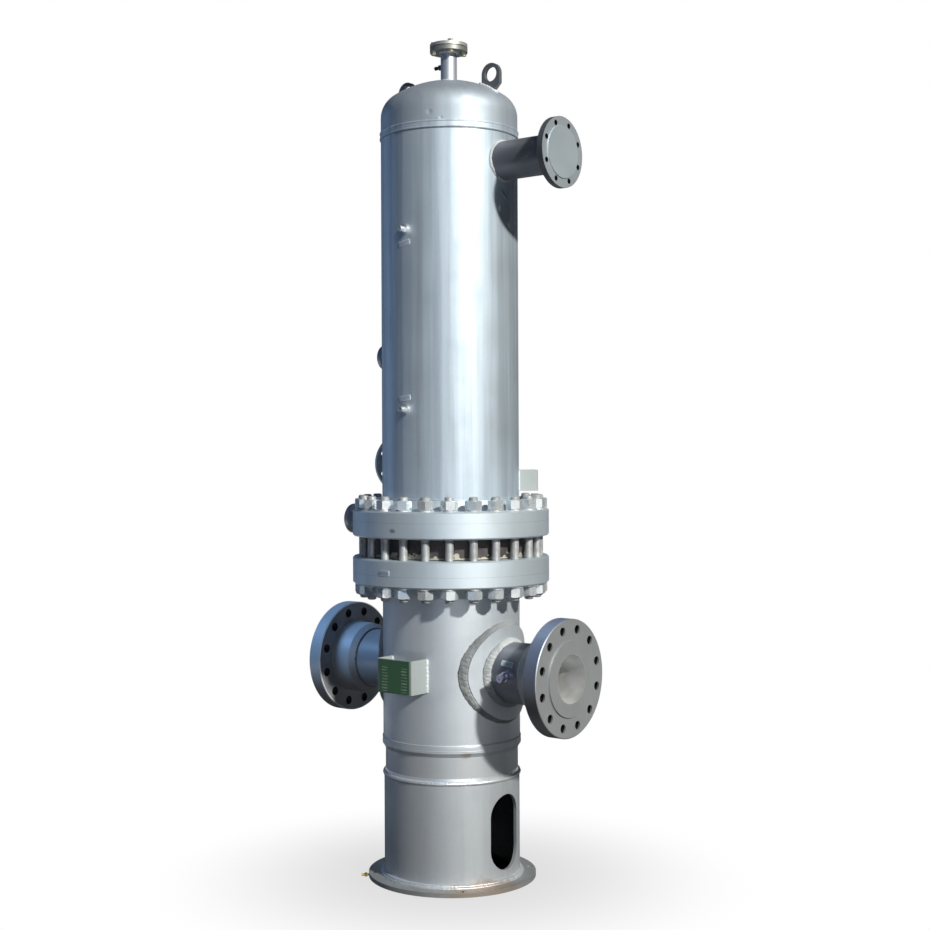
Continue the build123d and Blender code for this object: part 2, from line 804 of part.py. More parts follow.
save("lower_girth_flange", lower_girth_flange())
save("lower_gasket", gasket(lower_flange_top, channel_bore_radius))
save("tubesheet", tubesheet())
save("upper_gasket", gasket(tubesheet_top, shell_bore_radius))
save("upper_girth_flange", upper_girth_flange())
save("girth_studs", *round_studs(girth_stud()))
save("girth_upper_nuts", *round_studs(upper_nut()))
save("girth_lower_nuts", *round_studs(lower_nut()))
save("girth_upper_washers", *round_studs(washer(upper_flange_top)))
save("girth_lower_washers", *round_studs(washer(lower_flange_base - stud_washer_thickness)))
save("drain_nozzle", drain_nozzle())

save("shell_barrel", shell_barrel())
save("shell_seam_weld", shell_seam_weld())
save("tag_bracket", tag_bracket())
save("shell_taps", shell_tap(lower_tap_rise), shell_tap(upper_tap_rise))
save("gauge_nozzle", gauge_nozzle())
for end_name, end_place in (("inlet", shell_inlet), ("outlet", shell_outlet)):
    save(f"shell_{end_name}_neck", shell_nozzle_neck(end_place))
    save(f"shell_{end_name}_flange", shell_nozzle_flange(end_place))
    save(f"shell_{end_name}_cover", shell_nozzle_cover(end_place))

save("top_head", top_head())
save("right_lifting_lug", lifting_lug(1, 0))
save("left_lifting_lug", lifting_lug(-1, left_lug_drop))
save("vent_neck", vent_neck())
save("vent_flange", vent_plate(vent_bore_radius, vent_flange_base, vent_flange_top))
save("vent_gasket", vent_gasket())
save("vent_blind", vent_plate(0, vent_gasket_top, vent_top))
save("vent_bolts", *vent_bolts())
save("vent_tap", vent_tap())
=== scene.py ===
# %% [markdown]
# # A vertical shell and tube heat exchanger, dressed for a studio picture
#
# The exchanger stands on a skirt and a base ring. Every plate, flange and nut is already there as a
# solid, in metres, with +Z up. This lesson gives the solids their finish and adds what a welder and a
# painter leave behind: rippled beads, threads, blank plates, streaks and rust.

# %% Load the solids
import math

import bmesh
import bpy
from mathutils import Matrix, Vector
from mathutils.bvhtree import BVHTree
from mathutils.noise import noise_vector, seed_set


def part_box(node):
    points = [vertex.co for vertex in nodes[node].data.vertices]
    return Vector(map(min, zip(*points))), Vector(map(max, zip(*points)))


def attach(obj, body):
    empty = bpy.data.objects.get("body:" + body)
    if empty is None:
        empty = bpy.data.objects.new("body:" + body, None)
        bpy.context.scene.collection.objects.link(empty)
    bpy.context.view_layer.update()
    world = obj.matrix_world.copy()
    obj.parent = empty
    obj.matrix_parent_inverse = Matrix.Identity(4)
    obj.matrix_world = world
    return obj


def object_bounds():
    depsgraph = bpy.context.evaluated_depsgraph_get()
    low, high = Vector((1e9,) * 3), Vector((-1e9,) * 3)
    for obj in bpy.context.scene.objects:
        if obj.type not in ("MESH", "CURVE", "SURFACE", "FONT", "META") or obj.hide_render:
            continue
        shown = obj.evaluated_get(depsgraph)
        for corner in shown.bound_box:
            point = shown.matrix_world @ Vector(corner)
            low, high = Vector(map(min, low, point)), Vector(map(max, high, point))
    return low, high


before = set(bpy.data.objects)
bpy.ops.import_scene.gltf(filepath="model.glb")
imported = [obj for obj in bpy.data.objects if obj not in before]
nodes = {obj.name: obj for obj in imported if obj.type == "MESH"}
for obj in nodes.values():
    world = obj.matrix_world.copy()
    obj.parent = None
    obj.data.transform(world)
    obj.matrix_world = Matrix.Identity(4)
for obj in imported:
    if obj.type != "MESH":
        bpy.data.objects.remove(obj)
cad_box = [list(corner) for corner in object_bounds()]
scene = bpy.context.scene
scene.view_settings.view_transform = "Standard"
print("solids:", len(nodes), "box:", cad_box)

# %% [markdown]
# ## Where things are
#
# A piece that is added to the solids should never drift from the solid that carries it. So the radii and
# heights used below are read from the boxes of the solids instead of being typed again.

# %% Measure the solids


def low(node):
    """The lowest corner of a solid."""
    return Vector(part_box(node)[0])


def high(node):
    """The highest corner of a solid."""
    return Vector(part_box(node)[1])


def half_width(node):
    """Half of a solid's size across Y."""
    return (high(node).y - low(node).y) / 2


def middle(node):
    """The centre of a solid's box."""
    return (low(node) + high(node)) / 2


shell_radius = half_width("shell_barrel")
channel_radius = half_width("channel_barrel")
skirt_radius = half_width("skirt")
pad_radius = half_width("right_nozzle_pad")
pad_face_radius = high("right_nozzle_pad").x
neck_radius = half_width("right_nozzle_neck")
neck_height = middle("right_nozzle_neck").z
inlet_radius = half_width("shell_inlet_neck")
inlet_height = middle("shell_inlet_neck").z
outlet_height = middle("shell_outlet_neck").z
front_bearing = math.radians(-90)
right_bearing = 0.0
left_bearing = math.pi
outlet_centre = middle("shell_outlet_flange")
outlet_bearing = math.atan2(outlet_centre.y, outlet_centre.x)
print("shell radius", round(shell_radius, 4), "pad radius", round(pad_radius, 4))

# %% [markdown]
# ## The camera
#
# The picture was taken from eye height, a little over five metres away, looking level. A level camera
# keeps the vessel's sides upright. The frame is moved by a small lens shift and not by tilting, and the
# slight lean of the picture is a roll about the viewing axis.

# %% Camera
image_width = 930
focal_pixels = 1500
camera_azimuth = math.radians(38.5)
camera_distance = 5.58
camera_height = 1.575
horizon_above_centre = 15
axis_left_of_centre = 14.5
camera_roll = math.radians(0.26)

view_bearing = camera_azimuth - math.pi / 2
camera_data = bpy.data.cameras.new("camera")
camera_data.sensor_width = 36
camera_data.lens = camera_data.sensor_width * focal_pixels / image_width
camera_data.shift_x = axis_left_of_centre / image_width
camera_data.shift_y = -horizon_above_centre / image_width
camera = bpy.data.objects.new("camera", camera_data)
scene.collection.objects.link(camera)
camera.location = (
    camera_distance * math.cos(view_bearing),
    camera_distance * math.sin(view_bearing),
    camera_height,
)
upright = Matrix.Rotation(camera_azimuth, 4, "Z") @ Matrix.Rotation(math.pi / 2, 4, "X")
camera.rotation_euler = (upright @ Matrix.Rotation(-camera_roll, 4, "Z")).to_euler()
scene.camera = camera
print("camera at", [round(value, 3) for value in camera.location])

# %% [markdown]
# ## Building materials from nodes
#
# Paint on steel is never one flat grey. Each finish below starts from Object coordinates, so that its
# pattern sits still on the vessel, and mixes a few noises: long streaks, soft clouds and fine specks.
# These helpers keep every finish to a few lines.

# %% Node helpers


def add(tree, kind, inputs=None, **settings):
    """A node with its settings and with plain values on its sockets."""
    node = tree.nodes.new(kind)
    for name, value in settings.items():
        setattr(node, name, value)
    for name, value in (inputs or {}).items():
        node.inputs[name].default_value = value
    return node


def wire(tree, source, target):
    """Connect an output to an input."""
    tree.links.new(source, target)


def finish(name, colour, metallic, roughness):
    """A new material with a Principled shader, its constants set on the shader's own sockets."""
    material = bpy.data.materials.new(name)
    material.use_nodes = True
    tree = material.node_tree
    shader = tree.nodes["Principled BSDF"]
    shader.inputs["Base Color"].default_value = (*colour, 1)
    shader.inputs["Metallic"].default_value = metallic
    shader.inputs["Roughness"].default_value = roughness
    material.diffuse_color = (*colour, 1)
    return material, tree, shader


def object_place(tree):
    """Object coordinates of the surface."""
    return add(tree, "ShaderNodeTexCoord").outputs["Object"]


def noise(tree, place, scale, detail=3.0, stretch=(1, 1, 1), shift=(0, 0, 0)):
    """A noise in 0 to 1 over the surface, stretched along the axes by small scales."""
    mapping = add(tree, "ShaderNodeMapping", {"Scale": stretch, "Location": shift})
    wire(tree, place, mapping.inputs["Vector"])
    texture = add(tree, "ShaderNodeTexNoise", {"Scale": scale, "Detail": detail})
    wire(tree, mapping.outputs["Vector"], texture.inputs["Vector"])
    return texture.outputs["Fac"]


def spread(tree, value, start, end, to_start=0.0, to_end=1.0):
    """A value carried from one range to another and held at its ends."""
    ranges = {"From Min": start, "From Max": end, "To Min": to_start, "To Max": to_end}
    node = add(tree, "ShaderNodeMapRange", ranges, clamp=True, interpolation_type="SMOOTHSTEP")
    wire(tree, value, node.inputs["Value"])
    return node.outputs["Result"]


def within(tree, value, edge, soft):
    """One up to an edge, falling to zero over a soft margin past it."""
    return spread(tree, value, edge, edge + soft, 1.0, 0.0)


def maths(tree, operation, first, second=0.0):
    """A sum, a sine or the like of one or two values, each an output or a number."""
    node = add(tree, "ShaderNodeMath", operation=operation)
    for socket, value in zip(node.inputs, (first, second)):
        if isinstance(value, (int, float)):
            socket.default_value = value
        else:
            wire(tree, value, socket)
    return node.outputs["Value"]


def apart(tree, value, level):
    """How far a value lies from a level, either way."""
    return maths(tree, "ABSOLUTE", maths(tree, "SUBTRACT", value, level))


def wave(tree, value, pitch):
    """A sine that repeats at a pitch."""
    turn = maths(tree, "MULTIPLY", maths(tree, "DIVIDE", value, pitch), 2 * math.pi)
    return maths(tree, "SINE", turn)


def mix(tree, amount, first, second):
    """A colour between two, each an output or three numbers."""
    node = add(tree, "ShaderNodeMix", data_type="RGBA", clamp_factor=True)
    wire(tree, amount, node.inputs[0])
    for socket, value in ((node.inputs[6], first), (node.inputs[7], second)):
        if isinstance(value, tuple):
            socket.default_value = (*value, 1)
        else:
            wire(tree, value, socket)
    return node.outputs[2]


def bump(tree, shader, height, strength, distance):
    """Small relief from a height."""
    node = add(tree, "ShaderNodeBump", {"Strength": strength, "Distance": distance})
    wire(tree, height, node.inputs["Height"])
    wire(tree, node.outputs["Normal"], shader.inputs["Normal"])


def far_from(tree, place, centre, squash=(1, 1, 1)):
    """The distance from a point, measured with each axis scaled."""
    mapping = add(tree, "ShaderNodeMapping", {"Scale": squash}, vector_type="POINT")
    shifted = add(tree, "ShaderNodeVectorMath", operation="SUBTRACT")
    wire(tree, place, shifted.inputs[0])
    shifted.inputs[1].default_value = centre
    wire(tree, shifted.outputs["Vector"], mapping.inputs["Vector"])
    length = add(tree, "ShaderNodeVectorMath", operation="LENGTH")
    wire(tree, mapping.outputs["Vector"], length.inputs[0])
    return length.outputs["Value"]


def coordinate(tree, place, axis):
    """One of the X, Y and Z coordinates."""
    split = add(tree, "ShaderNodeSeparateXYZ")
    wire(tree, place, split.inputs["Vector"])
    return split.outputs[axis]


def coat_of(material):
    """A material's tree, its shader, and the colour that reaches the shader so far."""
    tree = material.node_tree
    shader = tree.nodes["Principled BSDF"]
    return tree, shader, shader.inputs["Base Color"].links[0].from_socket


print("helpers ready")

# %% [markdown]
# ## Aluminium paint
#
# Nearly everything carries the same aluminium paint: fine metal flakes in a clear binder. It is partly
# metallic, softly rough, and shows faint vertical streaks where it was sprayed and rained on, clouds
# where the coat is thicker, and tiny specks. One function makes all its variants: smooth on the shell,
# cloudy and paler on the channel, bright on the welds, which is partly a painted highlight, dark on the
# lugs and on the right and shell nozzle necks, which is painted shade, and pale blue on the left neck, a
# painted skylight. Stains are soft balls of rust round a point, dents are small pits in its relief, and
# the inside of the skirt is painted near-black as painted shade.

# %% Aluminium paint
rust = (0.38, 0.27, 0.19)
painted_inner_shade = (0.012, 0.012, 0.014)
paint_metallic = 0.62
weld_metallic = 0.2
streak_scale = 34
cloud_scale = 5.5
speck_scale = 300
streak_stretch = (1, 1, 0.03)


def aluminium_paint(name, light, dark, streaks, clouds, roughness=0.45, stains=(), shade_inside=None,
                    metallic=paint_metallic, dents=()):
    """Aluminium paint between two tones, with stains, small dents and painted shade inside a radius."""
    material, tree, shader = finish(name, light, metallic, roughness)
    place = object_place(tree)
    streak = noise(tree, place, streak_scale, 4, stretch=streak_stretch)
    cloud = noise(tree, place, cloud_scale, 5, shift=(3, 1, 7))
    speck = noise(tree, place, speck_scale, 2)
    tone = maths(tree, "MULTIPLY", spread(tree, streak, 0.35, 0.7), streaks)
    tone = maths(tree, "ADD", tone, maths(tree, "MULTIPLY", spread(tree, cloud, 0.32, 0.72), clouds))
    tone = maths(tree, "ADD", tone, maths(tree, "MULTIPLY", spread(tree, speck, 0.55, 0.75), 0.22))
    colour = mix(tree, tone, light, dark)
    for centre, reach, stain_colour in stains:
        ragged = maths(tree, "MULTIPLY", noise(tree, place, 45, 4), -0.9 * reach)
        near = maths(tree, "ADD", far_from(tree, place, centre, (1, 1, 1.6)), ragged)
        colour = mix(tree, spread(tree, near, -0.15 * reach, 0.4 * reach, 0.6, 0.0), colour, stain_colour)
    # Painted shade: inside the given radius the colour turns near-black, for the shade inside the skirt.
    if shade_inside is not None:
        flat = far_from(tree, place, (0, 0, 0), (1, 1, 0))
        colour = mix(tree, within(tree, flat, shade_inside - 0.001, 0.001), colour, painted_inner_shade)
    wire(tree, colour, shader.inputs["Base Color"])
    rough = spread(tree, cloud, 0.25, 0.75, roughness - 0.07, roughness + 0.09)
    wire(tree, rough, shader.inputs["Roughness"])
    relief = maths(tree, "ADD", maths(tree, "MULTIPLY", speck, 0.25), noise(tree, place, 90, 3))
    for centre, reach in dents:
        pit = spread(tree, far_from(tree, place, centre), 0.0, reach, -9.0, 0.0)
        relief = maths(tree, "ADD", relief, pit)
    bump(tree, shader, relief, 0.16, 0.0012)
    return material


paint_light = (0.65, 0.745, 0.83)
paint_dark = (0.47, 0.545, 0.62)
seam_stain = (channel_radius * 0.77, -channel_radius * 0.64, low("channel_barrel").z - 0.014)
foot_stain = (skirt_radius * 0.95, -skirt_radius * 0.5, low("skirt").z)


def round_vessel(radius, bearing, height):
    """A point on a cylinder round the vessel's axis, by its bearing in degrees."""
    turn = math.radians(bearing)
    return (radius * math.cos(turn), radius * math.sin(turn), height)


head_foot = high("shell_barrel").z
dent_places = (
    (0.0, -67.5, 0.043, 0.014), (0.011, -58.5, 0.077, 0.01), (0.008, -54.5, 0.071, 0.009),
    (0.0, -58, 0.02, 0.009), (0.0, -63, 0.012, 0.01),
)
head_dents = []
for inset, bearing, rise, reach in dent_places:
    head_dents.append((round_vessel(shell_radius - inset, bearing, head_foot + rise), reach))
gouge = round_vessel(half_width("upper_girth_flange"), -86, low("upper_girth_flange").z + 0.028)

shell_paint = aluminium_paint("shell_paint", paint_light, paint_dark, 0.75, 0.35, 0.54)
head_paint = aluminium_paint("head_paint", (0.57, 0.64, 0.71), (0.41, 0.47, 0.53), 0.3, 0.6, 0.57,
                             dents=head_dents)
channel_paint = aluminium_paint("channel_paint", (0.68, 0.73, 0.78), (0.54, 0.585, 0.635), 0.2, 0.75, 0.55,
                                stains=[(seam_stain, 0.03, rust)])
flange_paint = aluminium_paint("flange_paint", (0.49, 0.515, 0.56), (0.36, 0.385, 0.43), 0.1, 0.5, 0.48)
# Painted shade: a dark copy of the paint for the lifting lugs, whose seen faces turn away from the light.
lug_paint = aluminium_paint("lug_paint", (0.24, 0.26, 0.285), (0.17, 0.185, 0.205), 0.1, 0.5, 0.5)
# Painted shade: a dark copy of the paint for the right neck, which lies in its flange's shadow, for the hub
# welds and for the toe under the upper seam.
nozzle_paint = aluminium_paint("nozzle_paint", (0.285, 0.305, 0.355), (0.215, 0.23, 0.27), 0.15, 0.6, 0.42)
skirt_paint = aluminium_paint("skirt_paint", (0.63, 0.67, 0.71), (0.49, 0.525, 0.565), 0.3, 0.7, 0.55,
                              stains=[(foot_stain, 0.08, rust)], shade_inside=skirt_radius - 0.0115)
bottom_head_paint = aluminium_paint("bottom_head_paint", (0.63, 0.66, 0.695), (0.5, 0.525, 0.56), 0.2, 0.6,
                                    0.54, stains=[(seam_stain, 0.035, rust)], shade_inside=skirt_radius - 0.0105)
ring_paint = aluminium_paint("base_ring_paint", (0.52, 0.53, 0.54), (0.34, 0.35, 0.36), 0.0, 0.9, 0.55,
                             stains=[(foot_stain, 0.22, rust)], shade_inside=skirt_radius - 0.012)
# Partly painted highlight: the welds are painted much paler than the paint around them, for the light their
# beads catch.
weld_paint = aluminium_paint("weld_paint", (0.86, 0.89, 0.9), (0.64, 0.67, 0.69), 0.0, 0.6, 0.55,
                             metallic=weld_metallic)
neck_weld_paint = aluminium_paint("neck_weld_paint", (0.66, 0.69, 0.7), (0.3, 0.325, 0.34), 0.0, 0.8,
                                  0.7, metallic=weld_metallic)
pad_weld_paint = aluminium_paint("pad_weld_paint", (0.43, 0.455, 0.465), (0.19, 0.205, 0.22), 0.0, 0.8, 0.65,
                                 metallic=weld_metallic)
# Partly painted highlight: the foot welds are painted a glossy bluish white, for the highlight along the
# beads.
foot_weld_paint = aluminium_paint("foot_weld_paint", (0.9, 0.94, 0.98), (0.7, 0.74, 0.8), 0.0, 0.5, 0.3,
                                  stains=[(seam_stain, 0.05, rust), (foot_stain, 0.2, rust)])
# Partly painted shade: the vent flange is painted darker than the blind above it, for the shade on its
# underside; its warm tone is its own.
vent_paint = aluminium_paint("vent_paint", (0.4, 0.4, 0.38), (0.22, 0.22, 0.2), 0.0, 0.8, 0.45)
blind_paint = aluminium_paint("blind_paint", (0.71, 0.73, 0.71), (0.43, 0.43, 0.4), 0.0, 0.7, 0.42)
vent_neck_paint = aluminium_paint("vent_neck_paint", (0.57, 0.6, 0.685), (0.43, 0.45, 0.53), 0.4, 0.4, 0.5)
bracket_paint = aluminium_paint("bracket_paint", (0.45, 0.495, 0.5), (0.37, 0.41, 0.42), 0.1, 0.5, 0.5,
                                metallic=0.1)
print("paints:", len(bpy.data.materials))

# %% [markdown]
# ## Bare metal, gaskets and plates
#
# The studs and nuts are steel with a thin bright coat. Threads are too fine to model along the whole
# stud, so the steel carries a fine ring pattern along Z. The taps are polished steel, and the vent tap is
# painted near-black as a painted shade. The tubesheet is dark scale with pale patches of painted sunlight
# along its foot, the gaskets are black sheet, and the earth stud is brass. The name plate is green enamel
# with rows of blank pale fields.

# %% Metals and plates


def bare_metal(name, colour, worn, roughness, ring_pitch=None, metallic=0.9):
    """Bare metal with worn patches and, where a pitch is given, fine rings along Z."""
    material, tree, shader = finish(name, colour, metallic, roughness)
    place = object_place(tree)
    cloud = noise(tree, place, 38, 4)
    wire(tree, mix(tree, spread(tree, cloud, 0.4, 0.68), colour, worn), shader.inputs["Base Color"])
    wire(tree, spread(tree, cloud, 0.3, 0.7, roughness - 0.08, roughness + 0.12), shader.inputs["Roughness"])
    relief = noise(tree, place, 220, 2)
    if ring_pitch:
        relief = maths(tree, "ADD", relief, wave(tree, coordinate(tree, place, "Z"), ring_pitch))
    bump(tree, shader, relief, 0.2, 0.0008)
    return material


nut_steel = bare_metal("nut_steel", (0.78, 0.83, 0.86), (0.64, 0.68, 0.72), 0.25, metallic=0.5)
washer_steel = bare_metal("washer_steel", (0.8, 0.82, 0.83), (0.6, 0.61, 0.64), 0.35, metallic=0.5)
stud_steel = bare_metal("stud_steel", (0.52, 0.53, 0.54), (0.37, 0.38, 0.39), 0.45, ring_pitch=0.0035,
                        metallic=0.3)
blue_tap_steel = bare_metal("blue_tap_steel", (0.76, 0.76, 0.95), (0.45, 0.45, 0.62), 0.24)
tap_steel = bare_metal("tap_steel", (0.92, 0.93, 0.94), (0.66, 0.68, 0.7), 0.22, metallic=0.8)
# Painted shade: the vent tap's steel is painted near-black, as the tap lies in shade facing away.
dark_tap_steel = bare_metal("dark_tap_steel", (0.14, 0.14, 0.165), (0.07, 0.07, 0.085), 0.45)
tubesheet_steel = bare_metal("tubesheet_steel", (0.07, 0.06, 0.062), (0.11, 0.095, 0.095), 0.6, metallic=0.3)
gasket_sheet = bare_metal("gasket_sheet", (0.043, 0.037, 0.031), (0.1, 0.07, 0.05), 0.8, metallic=0.0)
brass = bare_metal("brass", (0.85, 0.62, 0.18), (0.5, 0.35, 0.11), 0.35)
vent_bolt_steel = bare_metal("vent_bolt_steel", (0.9, 0.8, 0.54), (0.57, 0.51, 0.37), 0.4)


def painted_sun_patches(material, node, sunlight_tone):
    """Paints pale patches of sunlight, a painted light, on the lowest part of a solid."""
    tree, shader, colour = coat_of(material)
    place = object_place(tree)
    rise = maths(tree, "SUBTRACT", coordinate(tree, place, "Z"), low(node).z)
    top = spread(tree, noise(tree, place, 26, 2), 0.5, 0.62, 0.004, 0.022)
    amount = spread(tree, maths(tree, "SUBTRACT", rise, top), -0.002, 0.002, 0.8, 0.0)
    wire(tree, mix(tree, amount, colour, sunlight_tone), shader.inputs["Base Color"])


# Painted light: pale patches where sunlight falls between the studs onto the tubesheet's foot.
painted_sun_patches(tubesheet_steel, "tubesheet", (0.6, 0.57, 0.46))


def plate_enamel(name, ground, field, plate, columns, rows):
    """Enamel with short blank strips in columns, each from one share of the width to another, facing -Y."""
    material, tree, shader = finish(name, ground, 0.0, 0.35)
    place = object_place(tree)
    corner = low(plate)
    size = high(plate) - corner
    across = maths(tree, "DIVIDE", maths(tree, "SUBTRACT", coordinate(tree, place, "X"), corner.x), size.x)
    up = maths(tree, "DIVIDE", maths(tree, "SUBTRACT", coordinate(tree, place, "Z"), corner.z), size.z)
    step = maths(tree, "FRACT", maths(tree, "MULTIPLY", up, rows))
    in_block = within(tree, apart(tree, up, 0.41), 0.36, 0.01)
    row = maths(tree, "MULTIPLY", within(tree, apart(tree, step, 0.5), 0.16, 0.06), in_block)
    column = None
    for first, last in columns:
        mask = within(tree, apart(tree, across, (first + last) / 2), (last - first) / 2, 0.01)
        column = mask if column is None else maths(tree, "MAXIMUM", column, mask)
    worn = spread(tree, noise(tree, place, 60, 4), 0.3, 0.7, 0.15, 0.6)
    fields = maths(tree, "MULTIPLY", maths(tree, "MULTIPLY", row, column), worn)
    wire(tree, mix(tree, fields, ground, field), shader.inputs["Base Color"])
    bump(tree, shader, noise(tree, place, 180, 2), 0.08, 0.0006)
    return material


name_plate_enamel = plate_enamel("name_plate_enamel", (0.043, 0.14, 0.062), (0.64, 0.71, 0.64), "name_plate",
                                 ((0.1, 0.28), (0.74, 0.93)), 11)
label_enamel = aluminium_paint("label_enamel", (0.86, 0.91, 0.96), (0.7, 0.78, 0.88), 0.0, 0.7, 0.35,
                               metallic=0.0)
field_enamel = aluminium_paint("field_enamel", (0.56, 0.66, 0.82), (0.4, 0.5, 0.67), 0.0, 0.9, 0.35,
                               metallic=0.0)
print("materials:", len(bpy.data.materials))

# %% [markdown]
# ## Turned and drilled faces
#
# A flange's raised face is cut with a fine spiral, which shows as rings round the bore. The bolt holes
# carry painted shade, the bore is a bright silver that is partly a painted highlight, and the rim takes a
# painted reflection of the sky above and of the ground below. The rims of the girth flanges carry one thin
# scribed line, painted darker as the shade of a groove. All are patterns of distance, so they are mixed
# into a copy of the paint instead of being modelled.

# %% Turned faces
hole_painted_shade = (0.02, 0.02, 0.022)
bore_highlight_silver = (0.92, 0.93, 0.94)
bore_shade_grey = (0.76, 0.76, 0.75)
groove_shade_grey = (0.36, 0.37, 0.41)
gouge_brown = (0.05, 0.04, 0.015)
bore_radius = 0.0868
raised_face_height = 0.0064


def drilled_paint(name, light, dark, bearing, height, circle, count, hole_radius, face_reach=None):
    """Flange paint of a level nozzle at a bearing, with painted shade in its bolt holes and bright silver in
    its bore, partly a painted highlight.
    """
    material = aluminium_paint(name, light, dark, 0.1, 0.6, 0.46)
    tree, shader, colour = coat_of(material)
    turned = add(tree, "ShaderNodeMapping", {"Rotation": (0, 0, -bearing)})
    wire(tree, object_place(tree), turned.inputs["Vector"])
    place = turned.outputs["Vector"]
    across = coordinate(tree, place, "Y")
    rise = maths(tree, "SUBTRACT", coordinate(tree, place, "Z"), height)
    turn = maths(tree, "MULTIPLY", maths(tree, "ARCTAN2", rise, across), count / (2 * math.pi))
    part = maths(tree, "SUBTRACT", maths(tree, "FRACT", turn), 0.5)
    swing = maths(tree, "COSINE", maths(tree, "MULTIPLY", part, 2 * math.pi / count))
    square = maths(tree, "ADD", maths(tree, "POWER", across, 2.0), maths(tree, "POWER", rise, 2.0))
    radius = maths(tree, "SQRT", square)
    cross = maths(tree, "MULTIPLY", maths(tree, "MULTIPLY", radius, swing), 2 * circle)
    from_hole = maths(tree, "SUBTRACT", maths(tree, "ADD", square, circle ** 2), cross)
    # Painted shade: the bolt holes are painted near-black; where a face reach is given, only deeper than 7
    # mm behind the face.
    inside = within(tree, maths(tree, "SQRT", from_hole), hole_radius + 0.0003, 0.0005)
    if face_reach is not None:
        along = maths(tree, "ABSOLUTE", coordinate(tree, place, "X"))
        inside = maths(tree, "MULTIPLY", inside, within(tree, along, face_reach - 0.007, 0.001))
    colour = mix(tree, inside, colour, hole_painted_shade)
    # Partly painted light: the bore is silver paint raised to a painted highlight, clouded with a painted
    # grey shade.
    cloud = spread(tree, noise(tree, object_place(tree), 14, 3), 0.4, 0.64)
    bore = within(tree, radius, bore_radius, 0.0006)
    colour = mix(tree, bore, colour, mix(tree, cloud, bore_highlight_silver, bore_shade_grey))
    wire(tree, colour, shader.inputs["Base Color"])
    return material


def turned_face_paint(name, light, dark, height, face_radius, ring_pitch, circle, count, hole_radius):
    """Drilled flange paint with a turned raised face round a nozzle along X at a height."""
    face_reach = high("right_nozzle_flange").x - raised_face_height
    material = drilled_paint(name, light, dark, 0.0, height, circle, count, hole_radius, face_reach)
    tree, shader = coat_of(material)[:2]
    place = object_place(tree)
    distance = far_from(tree, place, (0, 0, height), (0, 1, 1))
    on_face = within(tree, distance, face_radius - 0.001, 0.001)
    rings = maths(tree, "MULTIPLY", wave(tree, distance, ring_pitch), on_face)
    grain = noise(tree, place, 120, 3)
    bump(tree, shader, maths(tree, "ADD", maths(tree, "MULTIPLY", rings, 0.5), grain), 0.12, 0.001)
    return material


def scribed_rim_paint(name, heights, line_width):
    """Girth flange paint with a thin darker line round the rim at each height, the painted shade of a
    groove.
    """
    material = aluminium_paint(name, (0.72, 0.81, 0.88), (0.57, 0.65, 0.71), 0.12, 0.55, 0.5,
                               stains=[(gouge, 0.02, gouge_brown)])
    tree, shader, colour = coat_of(material)
    level = coordinate(tree, object_place(tree), "Z")
    for height in heights:
        # Painted shade: the scribed line is a grey line in the colour, for the shade in a groove.
        line = spread(tree, apart(tree, level, height), line_width / 2, line_width, 0.35, 0.0)
        colour = mix(tree, line, colour, groove_shade_grey)
    wire(tree, colour, shader.inputs["Base Color"])
    return material


def painted_sky_reflection(material, node, height, sky, ground, hub_radius=0.0, edge=None, reach=(-0.4, 0.7)):
    """Paints a reflection of the sky above and of the ground below into the rim and the hub of a flange
    along X, and a thin painted highlight ring near the rim's edge where an edge colour is given.
    """
    tree, shader, colour = coat_of(material)
    place = object_place(tree)
    rim_radius = half_width(node)
    side = low(node).x
    along = coordinate(tree, place, "X")
    distance = far_from(tree, place, (0, 0, height), (0, 1, 1))
    # Painted highlight: a thin pale ring near the rim's edge.
    if edge is not None:
        line = within(tree, apart(tree, distance, rim_radius - 0.003), 0.001, 0.001)
        line = maths(tree, "MULTIPLY", line, spread(tree, along, side + 0.02, side + 0.03))
        colour = mix(tree, line, colour, edge)
    rim = spread(tree, distance, rim_radius - 0.0015, rim_radius - 0.0005)
    hub = within(tree, distance, hub_radius, 0.001)
    hub = maths(tree, "MULTIPLY", hub, spread(tree, along, side + 0.06, side + 0.062))
    # Painted reflection: the rim, and the hub where a hub radius is given, go from the ground tone below to
    # the sky tone above.
    start, end = (height + share * rim_radius for share in reach)
    tone = mix(tree, spread(tree, coordinate(tree, place, "Z"), start, end), ground, sky)
    caught = maths(tree, "MAXIMUM", rim, hub)
    wire(tree, mix(tree, caught, colour, tone), shader.inputs["Base Color"])


raised_face_radius = 0.135
spiral_pitch = 0.0035
nozzle_bolt_circle = 0.1746
nozzle_hole_radius = 0.0159
nozzle_face = (neck_height, raised_face_radius, spiral_pitch, nozzle_bolt_circle, 12, nozzle_hole_radius)
nozzle_face_paint = turned_face_paint("nozzle_face_paint", (0.48, 0.5, 0.515), (0.37, 0.385, 0.4),
                                      *nozzle_face)
# Painted reflection: a dull sky tone and a dark ground tone on the right flange's rim.
painted_sky_reflection(nozzle_face_paint, "right_nozzle_flange", neck_height, (0.29, 0.36, 0.53), (0.18, 0.18, 0.2))
# Painted shade and light: a darker copy of the face paint for the left flange, which stands in the vessel's
# shadow, with a painted sky reflection on its rim and hub and a painted highlight along its edge.
left_face_paint = turned_face_paint("left_face_paint", (0.36, 0.365, 0.38), (0.27, 0.28, 0.295),
                                    *nozzle_face)
coat_of(left_face_paint)[1].inputs["Metallic"].default_value = 0.15
painted_sky_reflection(left_face_paint, "left_nozzle_flange", neck_height, (0.66, 0.73, 0.82), (0.44, 0.42, 0.41),
        hub_radius=0.137, edge=(0.96, 0.98, 1.0), reach=(-0.7, 0.4))
